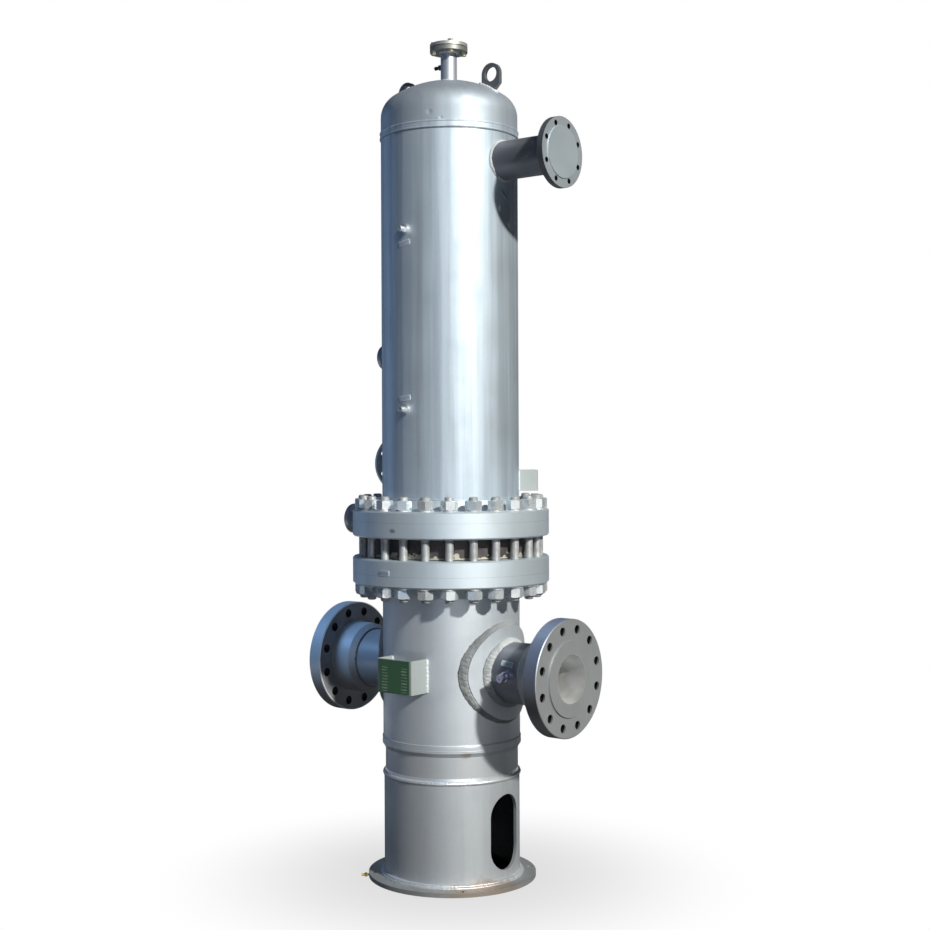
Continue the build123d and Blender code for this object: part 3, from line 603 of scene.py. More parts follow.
# Painted light: a paler, bluer copy of the neck paint on the left neck, for the blue sky that lights it.
left_neck_paint = aluminium_paint("left_neck_paint", (0.46, 0.5, 0.56), (0.35, 0.385, 0.44), 0.15, 0.6, 0.35,
                                  metallic=0.2)
# Painted shade: a dark copy of the paint for the shell nozzles' necks, which lie in their flanges' shadow,
# and for the beads behind the flanges.
inlet_neck_paint = aluminium_paint("inlet_neck_paint", (0.21, 0.215, 0.245), (0.16, 0.165, 0.19), 0.1, 0.6,
                                   0.48)
inlet_bolt_circle = 0.105
inlet_hole_radius = 0.009
inlet_holes = (inlet_bolt_circle, 8, inlet_hole_radius)
inlet_tones = ((0.58, 0.64, 0.68), (0.46, 0.505, 0.545))
inlet_face_paint = drilled_paint("inlet_face_paint", *inlet_tones, right_bearing, inlet_height, *inlet_holes)
# Painted reflection and painted shade: dark sky and ground tones on the inlet flange's rim.
painted_sky_reflection(inlet_face_paint, "shell_inlet_flange", inlet_height, (0.215, 0.243, 0.285), (0.115, 0.12, 0.135))
outlet_face_paint = drilled_paint("outlet_face_paint", *inlet_tones, outlet_bearing, outlet_height,
                                  *inlet_holes)
cover_paint = aluminium_paint("cover_paint", (0.64, 0.725, 0.79), (0.51, 0.58, 0.635), 0.0, 0.6, 0.46)
scribe_offset = 0.012
scribe_width = 0.0012
scribe_heights = [
    middle("lower_girth_flange").z + scribe_offset,
    middle("upper_girth_flange").z - scribe_offset,
]
girth_paint = scribed_rim_paint("girth_paint", scribe_heights, scribe_width)
print("turned faces ready")

# %% [markdown]
# ## Dressing the solids
#
# The solids keep their shapes. Each one only gets its finish, through its own material slots.

# %% Assign the finishes
finishes = {
    "shell_barrel": shell_paint, "top_head": head_paint, "shell_seam_weld": shell_paint,
    "channel_barrel": channel_paint, "bottom_head": bottom_head_paint, "channel_seam_weld": channel_paint,
    "pass_partition": channel_paint, "skirt": skirt_paint, "skirt_top_weld": foot_weld_paint,
    "base_ring": ring_paint, "base_ring_weld": foot_weld_paint, "earth_stud": brass,
    "name_bracket": bracket_paint, "tag_bracket": bracket_paint, "name_plate": name_plate_enamel,
    "lower_girth_flange": girth_paint, "upper_girth_flange": girth_paint,
    "tubesheet": tubesheet_steel, "lower_gasket": gasket_sheet, "upper_gasket": gasket_sheet,
    "girth_studs": stud_steel, "girth_upper_nuts": nut_steel, "girth_lower_nuts": nut_steel,
    "girth_upper_washers": washer_steel, "girth_lower_washers": washer_steel,
    "vent_gasket": gasket_sheet, "vent_bolts": vent_bolt_steel, "vent_tap": dark_tap_steel,
    "shell_taps": tap_steel, "nozzle_tap": blue_tap_steel, "vent_neck": vent_neck_paint,
    "vent_flange": vent_paint, "vent_blind": blind_paint,
    "shell_inlet_neck": inlet_neck_paint, "shell_outlet_neck": inlet_neck_paint,
    "shell_inlet_flange": inlet_face_paint, "shell_outlet_flange": outlet_face_paint,
    "shell_inlet_cover": cover_paint, "shell_outlet_cover": cover_paint,
    "right_nozzle_pad": channel_paint, "left_nozzle_pad": channel_paint,
    "right_nozzle_neck": nozzle_paint, "left_nozzle_neck": left_neck_paint,
    "right_nozzle_flange": nozzle_face_paint, "left_nozzle_flange": left_face_paint,
    "right_lifting_lug": lug_paint, "left_lifting_lug": lug_paint,
}
for name, solid in nodes.items():
    solid.data.materials.clear()
    solid.data.materials.append(finishes.get(name, flange_paint))
print("dressed", len(nodes), "solids")

# %% [markdown]
# ## Weld beads
#
# A hand-laid weld is a rope of small overlapping puddles. It follows a path: round a pad on a cylinder,
# round the foot of a lug, round the vessel. So a node tree takes a path, sweeps a circle along it, and
# pushes the surface in and out with a ripple along the path and a noise. Each path is plain points found
# on the solids, and one tree makes every bead from it.

# %% The bead tree


def new_tree(name, takes, gives, sizes):
    """An empty node tree from one geometry to another, and the identifiers of its named inputs."""
    tree = bpy.data.node_groups.new(name, "GeometryNodeTree")
    tree.interface.new_socket(takes, in_out="INPUT", socket_type="NodeSocketGeometry")
    sockets = {}
    for title, kind in sizes.items():
        socket = tree.interface.new_socket(title, in_out="INPUT", socket_type="NodeSocket" + kind)
        sockets[title] = socket.identifier
    tree.interface.new_socket(gives, in_out="OUTPUT", socket_type="NodeSocketGeometry")
    return tree, sockets


def chain(tree, *steps):
    """Hands the geometry on from each node to the next."""
    for source, target in zip(steps, steps[1:]):
        wire(tree, source.outputs[0], target.inputs[0])


def bead_tree():
    """Node tree that turns edges into rippled beads, with its sizes as named inputs."""
    sizes = {"Bead radius": "Float", "Ripple pitch": "Float", "Ripple height": "Float"}
    sizes.update({"Lumpiness": "Float", "Paint": "Material"})
    tree, sockets = new_tree("weld_bead", "Path", "Beads", sizes)
    start = add(tree, "NodeGroupInput")
    curve = add(tree, "GeometryNodeMeshToCurve")
    even = add(tree, "GeometryNodeResampleCurve", mode="LENGTH")
    along = add(tree, "GeometryNodeSplineParameter")
    keep = add(tree, "GeometryNodeCaptureAttribute")
    keep.capture_items.new("FLOAT", "along")
    section = add(tree, "GeometryNodeCurvePrimitiveCircle", {"Resolution": 8})
    sweep = add(tree, "GeometryNodeCurveToMesh", {"Fill Caps": True})
    normal = add(tree, "GeometryNodeInputNormal")
    lumps = add(tree, "ShaderNodeTexNoise", {"Scale": 110.0, "Detail": 3.0})
    push = add(tree, "ShaderNodeVectorMath", operation="SCALE")
    move = add(tree, "GeometryNodeSetPosition")
    smooth = add(tree, "GeometryNodeSetShadeSmooth")
    plain = add(tree, "GeometryNodeRealizeInstances")
    paint = add(tree, "GeometryNodeSetMaterial")
    end = add(tree, "NodeGroupOutput")
    chain(tree, start, curve, even, keep, sweep, move, smooth, plain, paint, end)
    pitch = start.outputs["Ripple pitch"]
    wire(tree, maths(tree, "DIVIDE", pitch, 3), even.inputs["Length"])
    wire(tree, along.outputs["Length"], keep.inputs["along"])
    wire(tree, start.outputs["Bead radius"], section.inputs["Radius"])
    wire(tree, section.outputs["Curve"], sweep.inputs["Profile Curve"])
    ripple = wave(tree, keep.outputs["along"], pitch)
    ripple = maths(tree, "MULTIPLY", ripple, start.outputs["Ripple height"])
    lump = maths(tree, "SUBTRACT", lumps.outputs["Fac"], 0.5)
    lump = maths(tree, "MULTIPLY", lump, start.outputs["Lumpiness"])
    wire(tree, normal.outputs["Normal"], push.inputs[0])
    wire(tree, maths(tree, "ADD", ripple, lump), push.inputs["Scale"])
    wire(tree, push.outputs["Vector"], move.inputs["Offset"])
    wire(tree, start.outputs["Paint"], paint.inputs["Material"])
    return tree, sockets


weld_bead, bead_sockets = bead_tree()
print("bead tree with", len(weld_bead.nodes), "nodes")

# %% Laying beads


def plain_mesh(name, points, edges=(), faces=()):
    """A mesh from points, edges and faces."""
    mesh = bpy.data.meshes.new(name)
    mesh.from_pydata(points, edges, faces)
    return mesh


def path_mesh(name, paths):
    """A mesh of edges along closed or open lists of points, given as (points, closed) pairs."""
    points = []
    edges = []
    for path, closed in paths:
        first = len(points)
        points += path
        edges += [(first + index, first + index + 1) for index in range(len(path) - 1)]
        if closed:
            edges.append((first + len(path) - 1, first))
    return plain_mesh(name, points, edges)


def carried(name, meshes, material):
    """One piece at the origin from several meshes, which are used up, riding on the vessel."""
    joined = bmesh.new()
    for mesh in meshes:
        joined.from_mesh(mesh)
        bpy.data.meshes.remove(mesh)
    result = bpy.data.meshes.new(name)
    joined.to_mesh(result)
    joined.free()
    result.materials.append(material)
    piece = bpy.data.objects.new(name, result)
    scene.collection.objects.link(piece)
    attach(piece, "root")
    print(name, "triangles", sum(len(face.vertices) - 2 for face in result.polygons))


def grown(mesh, tree, sockets, sizes):
    """The plain mesh that a node tree makes from a mesh of points or edges."""
    seed = bpy.data.objects.new(mesh.name, mesh)
    scene.collection.objects.link(seed)
    modifier = seed.modifiers.new("nodes", "NODES")
    modifier.node_group = tree
    for title, value in sizes.items():
        modifier[sockets[title]] = value
    ready = seed.evaluated_get(bpy.context.evaluated_depsgraph_get())
    result = bpy.data.meshes.new_from_object(ready)
    seed.modifiers.remove(modifier)
    bpy.data.objects.remove(seed)
    bpy.data.meshes.remove(mesh)
    return result


def lay_beads(name, paint, runs, lumps=1.3):
    """Beads along (paths, radius) runs, as one piece."""
    meshes = []
    for paths, radius in runs:
        sizes = {
            "Bead radius": radius,
            "Ripple pitch": max(0.0045, 0.75 * radius),
            "Ripple height": 0.09 * radius,
            "Lumpiness": lumps * radius,
            "Paint": paint,
        }
        meshes.append(grown(path_mesh(name, paths), weld_bead, bead_sockets, sizes))
    carried(name, meshes, paint)


print("bead helpers ready")

# %% [markdown]
# ### Paths on the vessel
#
# Three kinds of path cover nearly all welds: a ring round the vessel, a ring round a branch that dips
# over the vessel's curve like a saddle, and a flat ring round a nozzle's own axis.

# %% Path functions
path_steps = 160


def turns(steps):
    """Equal angles round a full circle."""
    return [2 * math.pi * index / steps for index in range(steps)]


def ring(radius, height):
    """A level ring round the vessel."""
    points = [(radius * math.cos(turn), radius * math.sin(turn), height) for turn in turns(path_steps)]
    return points, True


def saddle(branch_radius, vessel_radius, bearing, height, steps=path_steps):
    """A ring round a level branch, lying on the vessel's curve."""
    points = []
    for turn in turns(steps):
        side = branch_radius * math.cos(turn)
        out = math.sqrt(vessel_radius ** 2 - side ** 2)
        point = Vector((out, side, height + branch_radius * math.sin(turn)))
        points.append(Matrix.Rotation(bearing, 3, "Z") @ point)
    return points, True


def branch_ring(radius, reach, bearing, height):
    """A flat ring round a level branch at a distance from the vessel's axis."""
    points = []
    for turn in turns(path_steps):
        point = Vector((reach, radius * math.cos(turn), height + radius * math.sin(turn)))
        points.append(Matrix.Rotation(bearing, 3, "Z") @ point)
    return points, True


print("path steps", path_steps)

# %% [markdown]
# ### Nozzle welds
#
# Each channel nozzle passes through a round pad. A coarse flat fillet runs round the pad, one more round
# the neck where it meets the pad, and a fine ring joins the neck to the flange's hub. The shell
# nozzles have no pad, only a small fillet at the root and a bead behind the flange.

# %% Nozzle welds
weld_seed = 7
seed_set(weld_seed)


def fillet(branch_radius, vessel_radius, out, up, bearing, height, rough=0.0016):
    """A closed fillet round a level branch: a slanting face between two legs, roughened by a noise."""
    rows = 8
    steps = 420
    root = -0.004
    crown = 0.14
    section = [(root, root)]
    for index in range(rows + 1):
        share = index / rows
        bulge = crown * math.sin(math.pi * share)
        section.append((out * (share + bulge), up * (1 - share + bulge)))
    points = []
    for row, (away, lift) in enumerate(section):
        for point in saddle(branch_radius + away, vessel_radius + lift, bearing, height, steps)[0]:
            shake = noise_vector(point * 330) * rough + noise_vector(point * 110) * rough
            points.append(point + shake if row else point)
    faces = []
    for row in range(len(section)):
        for step in range(steps):
            here = row * steps
            there = (row + 1) % len(section) * steps
            after = (step + 1) % steps
            faces.append((here + step, here + after, there + after, there + step))
    mesh = plain_mesh("fillet", points, faces=faces)
    mesh.polygons.foreach_set("use_smooth", [True] * len(faces))
    return mesh


coarse_grain = 0.002
fine_grain = 0.001
pad_weld_leg = 0.0135
pad_weld_rise = 0.8 * (pad_face_radius - channel_radius)
neck_weld_leg = 0.0165
hub_reach = high("right_nozzle_neck").x
pad_fillets = []
neck_fillets = []
neck_runs = []
for bearing in (right_bearing, left_bearing):
    coarse = (bearing, neck_height, coarse_grain)
    pad_fillets.append(fillet(pad_radius, channel_radius, pad_weld_leg, pad_weld_rise, *coarse))
    neck_fillets.append(fillet(neck_radius, pad_face_radius, neck_weld_leg, neck_weld_leg, *coarse))
    neck_runs.append(([branch_ring(neck_radius + 0.0005, hub_reach, bearing, neck_height)], 0.0042))
carried("pad_welds", pad_fillets, pad_weld_paint)
carried("neck_welds", neck_fillets, neck_weld_paint)
# The hub welds take the dark painted shade of the neck.
lay_beads("hub_welds", nozzle_paint, neck_runs)

shell_weld_leg = 0.0065
inlet_back = low("shell_inlet_flange").x
shell_fillets = []
shell_runs = []
for bearing, height in ((right_bearing, inlet_height), (outlet_bearing, outlet_height)):
    fine = (bearing, height, fine_grain)
    shell_fillets.append(fillet(inlet_radius, shell_radius, shell_weld_leg, shell_weld_leg, *fine))
    shell_runs.append(([branch_ring(inlet_radius + 0.002, inlet_back - 0.001, bearing, height)], 0.005))
carried("shell_nozzle_welds", shell_fillets, neck_weld_paint)
# These beads take the necks' painted shade.
lay_beads("shell_hub_welds", inlet_neck_paint, shell_runs)

# %% [markdown]
# ### Rings round the vessel
#
# The seams at the two heads are wide, with a fine ridge along each toe and a dark line under the upper
# one, which is painted shade. The skirt hangs from a thick bead that fills the step between the head and
# the skirt, and a fillet runs round its foot.

# %% Seam and foot beads


def toes(node, radius, inset):
    """Rings near the lower and upper edge of a seam."""
    return [ring(radius, low(node).z + inset), ring(radius, high(node).z - inset)]


seam_runs = [
    (toes("shell_seam_weld", shell_radius + 0.0008, 0.005), 0.0034),
    ([ring(shell_radius, low("shell_barrel").z)], 0.003),
    ([ring(channel_radius, high("channel_barrel").z)], 0.003),
]
lay_beads("shell_seam_beads", shell_paint, seam_runs, lumps=0.5)
# Painted shade: the dark line under the upper seam.
seam_foot = ring(shell_radius + 0.0004, low("shell_seam_weld").z + 0.0006)
lay_beads("shell_seam_toe", nozzle_paint, [([seam_foot], 0.0019)], lumps=0.5)

head_radius = half_width("bottom_head")
ring_top = high("base_ring").z
foot_runs = [
    ([ring(head_radius + 0.001, high("skirt").z + 0.0075)], 0.009),
    ([ring(skirt_radius + 0.004, ring_top + 0.007)], 0.0065),
    ([ring(skirt_radius + 0.0095, ring_top + 0.001)], 0.0052),
]
lay_beads("foot_beads", foot_weld_paint, foot_runs, lumps=0.35)
lower_toe = ring(head_radius + 0.0012, low("channel_seam_weld").z + 0.005)
upper_toe = ring(channel_radius + 0.0003, high("channel_seam_weld").z - 0.004)
seam_middle = ring(channel_radius + 0.0015, low("channel_barrel").z)
channel_runs = [([lower_toe, upper_toe], 0.0026), ([seam_middle], 0.0018)]
lay_beads("channel_seam_beads", channel_paint, channel_runs, lumps=0.6)

# %% [markdown]
# ### Welds at small fittings
#
# The lugs stand on the curved head, so their path is dropped onto the head's own surface with a ray.
# The vent, the back connections and the brackets get finer beads.

# %% Lug and fitting welds


def surface_tree(node):
    """A search tree over the faces of a solid, for finding its surface."""
    mesh = nodes[node].data
    corners = [vertex.co for vertex in mesh.vertices]
    return BVHTree.FromPolygons(corners, [list(face.vertices) for face in mesh.polygons])


head_surface = surface_tree("top_head")


def on_head(x, y, lift):
    """The point of the top head under or over a place, lifted a little."""
    hit = head_surface.ray_cast(Vector((x, y, high("vent_blind").z)), Vector((0, 0, -1)))[0]
    return Vector((x, y, hit.z + lift))


def lug_foot(node, gap, lift):
    """A closed path round the foot of a lifting lug."""
    side = 1 if middle(node).x > 0 else -1
    corners = [vertex.co for vertex in nodes[node].data.vertices]
    touching = [abs(corner.x) for corner in corners if head_surface.find_nearest(corner)[3] < 0.0015]
    inner, outer = min(touching), max(touching)
    width = half_width(node) + gap
    steps = 24
    runs = [inner + (outer - inner) * index / steps for index in range(steps + 1)]
    bends = [math.pi / 2 - math.pi * index / 8 for index in range(1, 8)]
    path = [(reach, width) for reach in runs]
    path += [(outer + width * math.cos(bend), width * math.sin(bend)) for bend in bends]
    path += [(reach, -width) for reach in reversed(runs)]
    path += [(inner - width * math.cos(bend), -width * math.sin(bend)) for bend in bends]
    return [on_head(side * reach, across, lift) for reach, across in path], True


head_runs = []
for node in ("right_lifting_lug", "left_lifting_lug"):
    head_runs.append(([lug_foot(node, 0.002, 0.002)], 0.0046))
vent_radius = half_width("vent_neck")
crown = on_head(vent_radius + 0.004, 0, 0).z
head_runs.append(([ring(vent_radius + 0.002, crown + 0.002)], 0.0055))
head_runs.append(([ring(vent_radius + 0.001, low("vent_flange").z)], 0.004))
lay_beads("head_welds", weld_paint, head_runs)

girth_radius = half_width("upper_girth_flange")
small_nozzles = (
    ("gauge_nozzle", 0.0107, shell_radius, 0.0032),
    ("drain_nozzle", 0.0169, girth_radius, 0.004),
)
fine_runs = []
for node, pipe_radius, vessel_radius, bead_radius in small_nozzles:
    foot = saddle(pipe_radius + 0.001, vessel_radius + 0.001, left_bearing, middle(node).z)
    fine_runs.append(([foot], bead_radius))


def bracket_feet(node, vessel_radius, bearing, width):
    """Upright paths where the two legs of a bracket meet the vessel."""
    paths = []
    for side in (-1, 1):
        across = side * (width / 2 - 0.001)
        out = math.sqrt((vessel_radius + 0.001) ** 2 - across ** 2)
        foot = Matrix.Rotation(bearing, 3, "Z") @ Vector((out, across, 0))
        ends = (low(node).z + 0.002, high(node).z - 0.002)
        paths.append(([foot + Vector((0, 0, end)) for end in ends], False))
    return paths


name_width = high("name_bracket").x - low("name_bracket").x
fine_runs.append((bracket_feet("name_bracket", channel_radius, front_bearing, name_width), 0.006))
tag_width = 0.096
tag_bearing = math.radians(45)
fine_runs.append((bracket_feet("tag_bracket", shell_radius, tag_bearing, tag_width), 0.0038))
lay_beads("fitting_welds", weld_paint, fine_runs)

# %% [markdown]
# ## Threads on the stud ends
#
# Every stud shows a short threaded end past its nut. The threads repeat, so a second node tree sets a
# thin ridge at each point of a mesh and realizes the copies.

# %% Thread rings


def copies_tree(name):
    """Node tree that sets copies of a small object at every point and makes them plain."""
    sizes = {"Copy": "Object", "Size": "Float", "Paint": "Material"}
    tree, sockets = new_tree(name, "Points", "Copies", sizes)
    start = add(tree, "NodeGroupInput")
    item = add(tree, "GeometryNodeObjectInfo")
    place = add(tree, "GeometryNodeInstanceOnPoints")
    plain = add(tree, "GeometryNodeRealizeInstances")
    paint = add(tree, "GeometryNodeSetMaterial")
    end = add(tree, "NodeGroupOutput")
    chain(tree, start, place, plain, paint, end)
    wire(tree, start.outputs["Copy"], item.inputs["Object"])
    wire(tree, item.outputs["Geometry"], place.inputs["Instance"])
    wire(tree, start.outputs["Size"], place.inputs["Scale"])
    wire(tree, start.outputs["Paint"], paint.inputs["Material"])
    return tree, sockets


def unit_ridge(sides, slope):
    """A ring of radius one with a sharp outer edge, lying flat."""
    section = ((0.985, -slope), (1.0, 0.0), (0.985, slope))
    points = []
    for turn in turns(sides):
        points += [(radius * math.cos(turn), radius * math.sin(turn), rise) for radius, rise in section]
    faces = []
    for index in range(sides):
        here = 3 * index
        there = 3 * ((index + 1) % sides)
        faces += [(here, there, there + 1, here + 1), (here + 1, there + 1, there + 2, here + 2)]
        faces.append((here + 2, there + 2, there, here))
    ridge = bpy.data.objects.new("ridge", plain_mesh("ridge", points, faces=faces))
    scene.collection.objects.link(ridge)
    return ridge


stud_count = 24
stud_pitch = 2 * math.pi / stud_count
stud_radius = 0.0165
stud_circle = (high("girth_studs").x - stud_radius) / math.cos(stud_pitch / 2)
thread_pitch = 0.0035
threads_shown = 2
spots = []
for index in range(stud_count):
    turn = stud_pitch * (index + 0.5)
    for nut_face, direction in ((high("girth_upper_nuts").z, 1), (low("girth_lower_nuts").z, -1)):
        for count in range(threads_shown):
            height = nut_face + direction * thread_pitch * (count + 0.5)
            spots.append((stud_circle * math.cos(turn), stud_circle * math.sin(turn), height))
thread_copies, thread_sockets = copies_tree("thread_copies")
ridge = unit_ridge(20, 0.06)
thread_sizes = {"Copy": ridge, "Size": stud_radius + 0.0004, "Paint": stud_steel}
threads = grown(plain_mesh("stud_threads", spots), thread_copies, thread_sockets, thread_sizes)
bpy.data.objects.remove(ridge)
carried("stud_threads", [threads], stud_steel)

# %% [markdown]
# ## Blank plates
#
# Small plates sit beside the taps, under the shell inlet and on the lower girth rim. They are blank, with a
# pale border and rounded corners, and follow the curve that they are stuck to, a little askew.

# %% Label plates


def curved_plate(name, place, width, height, thickness):
    """A thin plate with rounded corners, bent by a function from (across, up, out) to a point."""
    columns, rows = 16, 6
    corner = 0.12 * height
    plate = bmesh.new()
    layers = []
    for out in (0.0002, thickness):
        grid = []
        for row in range(rows + 1):
            up = height * (row / rows - 0.5)
            trim = 0.0
            if abs(up) > height / 2 - corner:
                rise = abs(up) - (height / 2 - corner)
                trim = corner - math.sqrt(max(corner ** 2 - rise ** 2, 0))
            line = []
            for column in range(columns + 1):
                across = (width - 2 * trim) * (column / columns - 0.5)
                line.append(plate.verts.new(place(across, up, out)))
            grid.append(line)
        layers.append(grid)
    back, front = layers
    for row in range(rows):
        for column in range(columns):
            corners = ((row, column), (row, column + 1), (row + 1, column + 1), (row + 1, column))
            plate.faces.new([front[r][c] for r, c in corners])
            plate.faces.new([back[r][c] for r, c in reversed(corners)])
    edge = [(0, column) for column in range(columns)]
    edge += [(row, columns) for row in range(rows)]
    edge += [(rows, column) for column in range(columns, 0, -1)]
    edge += [(row, 0) for row in range(rows, 0, -1)]
    for index, (row, column) in enumerate(edge):
        next_row, next_column = edge[(index + 1) % len(edge)]
        near = (front[next_row][next_column], front[row][column])
        plate.faces.new((back[row][column], back[next_row][next_column], *near))
    bmesh.ops.recalc_face_normals(plate, faces=plate.faces)
    mesh = bpy.data.meshes.new(name)
    plate.to_mesh(mesh)
    plate.free()
    return mesh


def bent_round(radius, bearing, height):
    """Bends a plate to a cylinder round the vessel's axis."""
    def place(across, up, out):
        turn = bearing + across / radius
        reach = radius + out
        return (reach * math.cos(turn), reach * math.sin(turn), height + up)
    return place


tap_centre = middle("nozzle_tap")


def on_neck(lean):
    """Bends a plate to the right neck, above its tap."""
    def place(across, up, out):
        turn = lean + up / neck_radius
        reach = neck_radius + out
        return (tap_centre.x + across, -reach * math.cos(turn), neck_height + reach * math.sin(turn))
    return place


def tilted(place, degrees, shift=0.0):
    """A bend whose plate is first turned in its own plane and moved sideways."""
    lean = math.radians(degrees)

    def turned(across, up, out):
        along = across * math.cos(lean) - up * math.sin(lean)
        rise = across * math.sin(lean) + up * math.cos(lean)
        return place(along + shift, rise, out)
    return turned


tap_radius = (high("shell_taps").x - low("shell_taps").x) / 2
over_tap = low("shell_taps").z + tap_radius + 0.04
under_tap = high("shell_taps").z - tap_radius - 0.049
rim_radius = half_width("lower_girth_flange")
rim_height = high("lower_girth_flange").z - 0.045
wide_label = 0.053
narrow_label = 0.046
label_places = [
    (tilted(bent_round(shell_radius, front_bearing, over_tap), 5.5, -0.0065), wide_label),
    (tilted(bent_round(shell_radius, front_bearing, under_tap), 9, -0.0065), wide_label),
    (tilted(on_neck(math.radians(25)), -6, -0.008), wide_label),
    (tilted(bent_round(shell_radius, right_bearing, inlet_height - 0.12), -33), narrow_label),
    (bent_round(rim_radius, math.radians(-92), rim_height), narrow_label),
]
label_height = 0.0195
label_thickness = 0.0014
label_border = 0.006
borders = []
fields = []
for place, width in label_places:
    borders.append(curved_plate("label", place, width, label_height, label_thickness))
    inner = (width - label_border, label_height - label_border)
    fields.append(curved_plate("field", place, *inner, label_thickness + 0.0003))
carried("label_plates", borders, label_enamel)
carried("label_fields", fields, field_enamel)
print("labels", len(label_places))

# %% [markdown]
# ## Floor, cards and light
#
# The floor is a pale disc that fades to white at its edge, so that the picture has no horizon but keeps
# the shadow at the foot. Polished and painted metal shows its surroundings, so a dark blue card stands to
# the left, as under a clear sky, and a grey one to the right. A third card, whose glow grows towards the
# camera, softens the edge of the dark one. The key lamp stands to the right of the camera, where the sun
# was. A weak blue lamp lights the shaded side, one more lights the left nozzle alone, and a lamp behind
# keeps the far side readable. The world is white for what is seen and mirrored, and a weak blue fill
# for everything else.

# %% Floor
white = (1.0, 1.0, 1.0)


def seen_or_mirrored(tree, share=1.0):
    """One for rays from the camera, a share for rays from mirrors and through glass, else zero."""
    path = add(tree, "ShaderNodeLightPath")
    mirrored = maths(tree, "MAXIMUM", path.outputs["Is Glossy Ray"], path.outputs["Is Transmission Ray"])
    return maths(tree, "MAXIMUM", path.outputs["Is Camera Ray"], maths(tree, "MULTIPLY", mirrored, share))


def stage_object(name, mesh, material, seen=True):
    """An object of the studio, not of the exchanger, seen by the camera or only in reflections."""
    mesh.materials.append(material)
    piece = bpy.data.objects.new(name, mesh)
    scene.collection.objects.link(piece)
    piece.visible_camera = seen
    piece.visible_shadow = seen
    return piece


def level_disc(name, radius, height, segments):
    """A level disc as a mesh."""
    mesh = bpy.data.meshes.new(name)
    disc = bmesh.new()
    centre = Matrix.Translation((0, 0, height))
    bmesh.ops.create_circle(disc, cap_ends=True, segments=segments, radius=radius, matrix=centre)
    disc.to_mesh(mesh)
    disc.free()
    return mesh


floor_radius = 2.6
floor_grey = (0.05, 0.05, 0.05)
mirrored_share = 0.03
floor_paint, tree, shader = finish("floor_paint", floor_grey, 0.0, 0.9)
place = object_place(tree)
distance = far_from(tree, place, (0, 0, 0), (1, 1, 0))
glow = add(tree, "ShaderNodeEmission", {"Color": (*white, 1), "Strength": 1.0})
blend = add(tree, "ShaderNodeMixShader")
fade = spread(tree, distance, 0.2, 1.15, 0.72, 1.0)
outside = spread(tree, distance, skirt_radius - 0.008, skirt_radius)
fade = maths(tree, "MULTIPLY", fade, outside)
wire(tree, maths(tree, "MULTIPLY", fade, seen_or_mirrored(tree, mirrored_share)), blend.inputs["Fac"])
wire(tree, shader.outputs["BSDF"], blend.inputs[1])
wire(tree, glow.outputs["Emission"], blend.inputs[2])
wire(tree, blend.outputs["Shader"], tree.nodes["Material Output"].inputs["Surface"])
stage_object("floor", level_disc("floor", floor_radius, 0.0, 96), floor_paint)
print("floor radius", floor_radius)

# %% Cards
card_radius = 4.2
card_height = 5.5
glow_radius = 4.1


def card(name, start, end, radius, colour):
    """A curved upright card between two bearings from the camera's, seen only in reflections."""
    steps = 24
    points = []
    for index in range(steps + 1):
        bearing = view_bearing + math.radians(start + (end - start) * index / steps)
        foot = (radius * math.cos(bearing), radius * math.sin(bearing))
        points += [(*foot, 0.02), (*foot, card_height)]
    faces = [(here, here + 2, here + 3, here + 1) for here in range(0, 2 * steps, 2)]
    cloth = finish(name + "_cloth", colour, 0.0, 0.95)[0]
    return stage_object(name, plain_mesh(name, points, faces=faces), cloth, seen=False)


def glowing_card(name, start, end, colour, strength):
    """A card whose glow grows from one edge to the other, so that its mirror image has no hard edge."""
    piece = card(name, start, end, glow_radius, colour)
    tree = piece.data.materials[0].node_tree
    across = view_bearing + math.radians((start + end) / 2) + math.pi / 2
    along = add(tree, "ShaderNodeVectorMath", operation="DOT_PRODUCT")
    wire(tree, object_place(tree), along.inputs[0])
    along.inputs[1].default_value = (math.cos(across), math.sin(across), 0)
    reach = glow_radius * math.sin(math.radians((end - start) / 2))
    glow = add(tree, "ShaderNodeEmission", {"Color": (*colour, 1)})
    wire(tree, spread(tree, along.outputs["Value"], -reach, reach, 0.0, strength), glow.inputs["Strength"])
    wire(tree, glow.outputs["Emission"], tree.nodes["Material Output"].inputs["Surface"])
    piece.visible_diffuse = False


card("dark_card", -180, -6, card_radius, (0.06, 0.09, 0.15))
card("grey_card", 31, 180, card_radius, (0.08, 0.088, 0.096))
glowing_card("sky_edge_card", -46, -6, (0.35, 0.65, 1.0), 0.55)
sky_cloth = finish("sky_card_cloth", (0.1, 0.16, 0.29), 0.0, 0.95)[0]
stage_object("sky_card", level_disc("sky_card", card_radius, card_height, 48), sky_cloth, seen=False)
print("cards up")

# %% Lamps and world


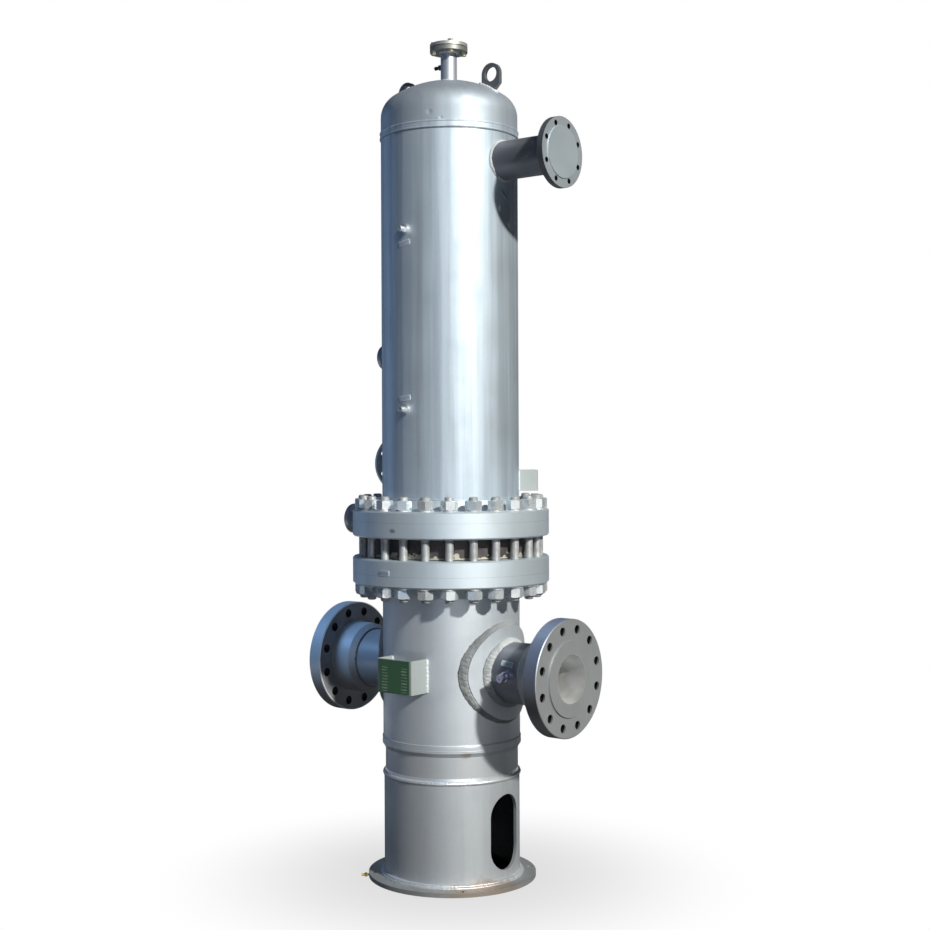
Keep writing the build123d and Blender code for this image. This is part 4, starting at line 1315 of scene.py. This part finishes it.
def lamp(name, bearing, elevation, distance, size, power, colour):
    """A square or tall area lamp at a bearing from the camera's, aimed at the middle of the vessel."""
    data = bpy.data.lights.new(name, "AREA")
    data.shape = "RECTANGLE"
    data.size, data.size_y = size
    data.energy = power
    data.color = colour
    piece = bpy.data.objects.new(name, data)
    scene.collection.objects.link(piece)
    turn = view_bearing + math.radians(bearing)
    rise = math.radians(elevation)
    target = Vector((0, 0, (cad_box[0][2] + cad_box[1][2]) / 2))
    away = Vector((math.cos(turn) * math.cos(rise), math.sin(turn) * math.cos(rise), math.sin(rise)))
    piece.location = target + distance * away
    piece.rotation_euler = away.to_track_quat("Z", "Y").to_euler()
    piece.visible_camera = False
    return piece


sun_bearing = 35.5
sun_elevation = 29.5
lamp("key_lamp", sun_bearing, sun_elevation, 20.0, (1.0, 1.0), 4800, (1.0, 0.985, 0.92))
strip = lamp("strip_lamp", 34, 0, 5.2, (2.4, 4.2), 8, (1.0, 0.99, 0.98))
strip.visible_diffuse = False
lamp("sky_lamp", -118, 8, 5.0, (3.0, 3.0), 24, (0.45, 0.66, 1.0))
left_sky = lamp("left_sky_lamp", -70, 35, 4.0, (1.5, 1.5), 78, (0.36, 0.62, 1.0))
left_nozzle = bpy.data.collections.new("left_nozzle")
for name in ("left_nozzle_flange", "left_nozzle_neck"):
    left_nozzle.objects.link(nodes[name])
left_sky.light_linking.receiver_collection = left_nozzle
back = lamp("back_lamp", 180, 12, 6.0, (3.0, 3.5), 95, (0.94, 0.97, 1.0))
back.visible_glossy = False

fill_strength = 0.045
world = bpy.data.worlds.new("studio")
scene.world = world
world.use_nodes = True
tree = world.node_tree
fill = tree.nodes["Background"]
fill.inputs["Color"].default_value = (0.72, 0.84, 1.0, 1)
fill.inputs["Strength"].default_value = fill_strength
backdrop = add(tree, "ShaderNodeBackground", {"Color": (*white, 1), "Strength": 1.0})
both = add(tree, "ShaderNodeMixShader")
wire(tree, seen_or_mirrored(tree), both.inputs["Fac"])
wire(tree, fill.outputs["Background"], both.inputs[1])
wire(tree, backdrop.outputs["Background"], both.inputs[2])
wire(tree, both.outputs["Shader"], tree.nodes["World Output"].inputs["Surface"])
print("lamps and world ready")
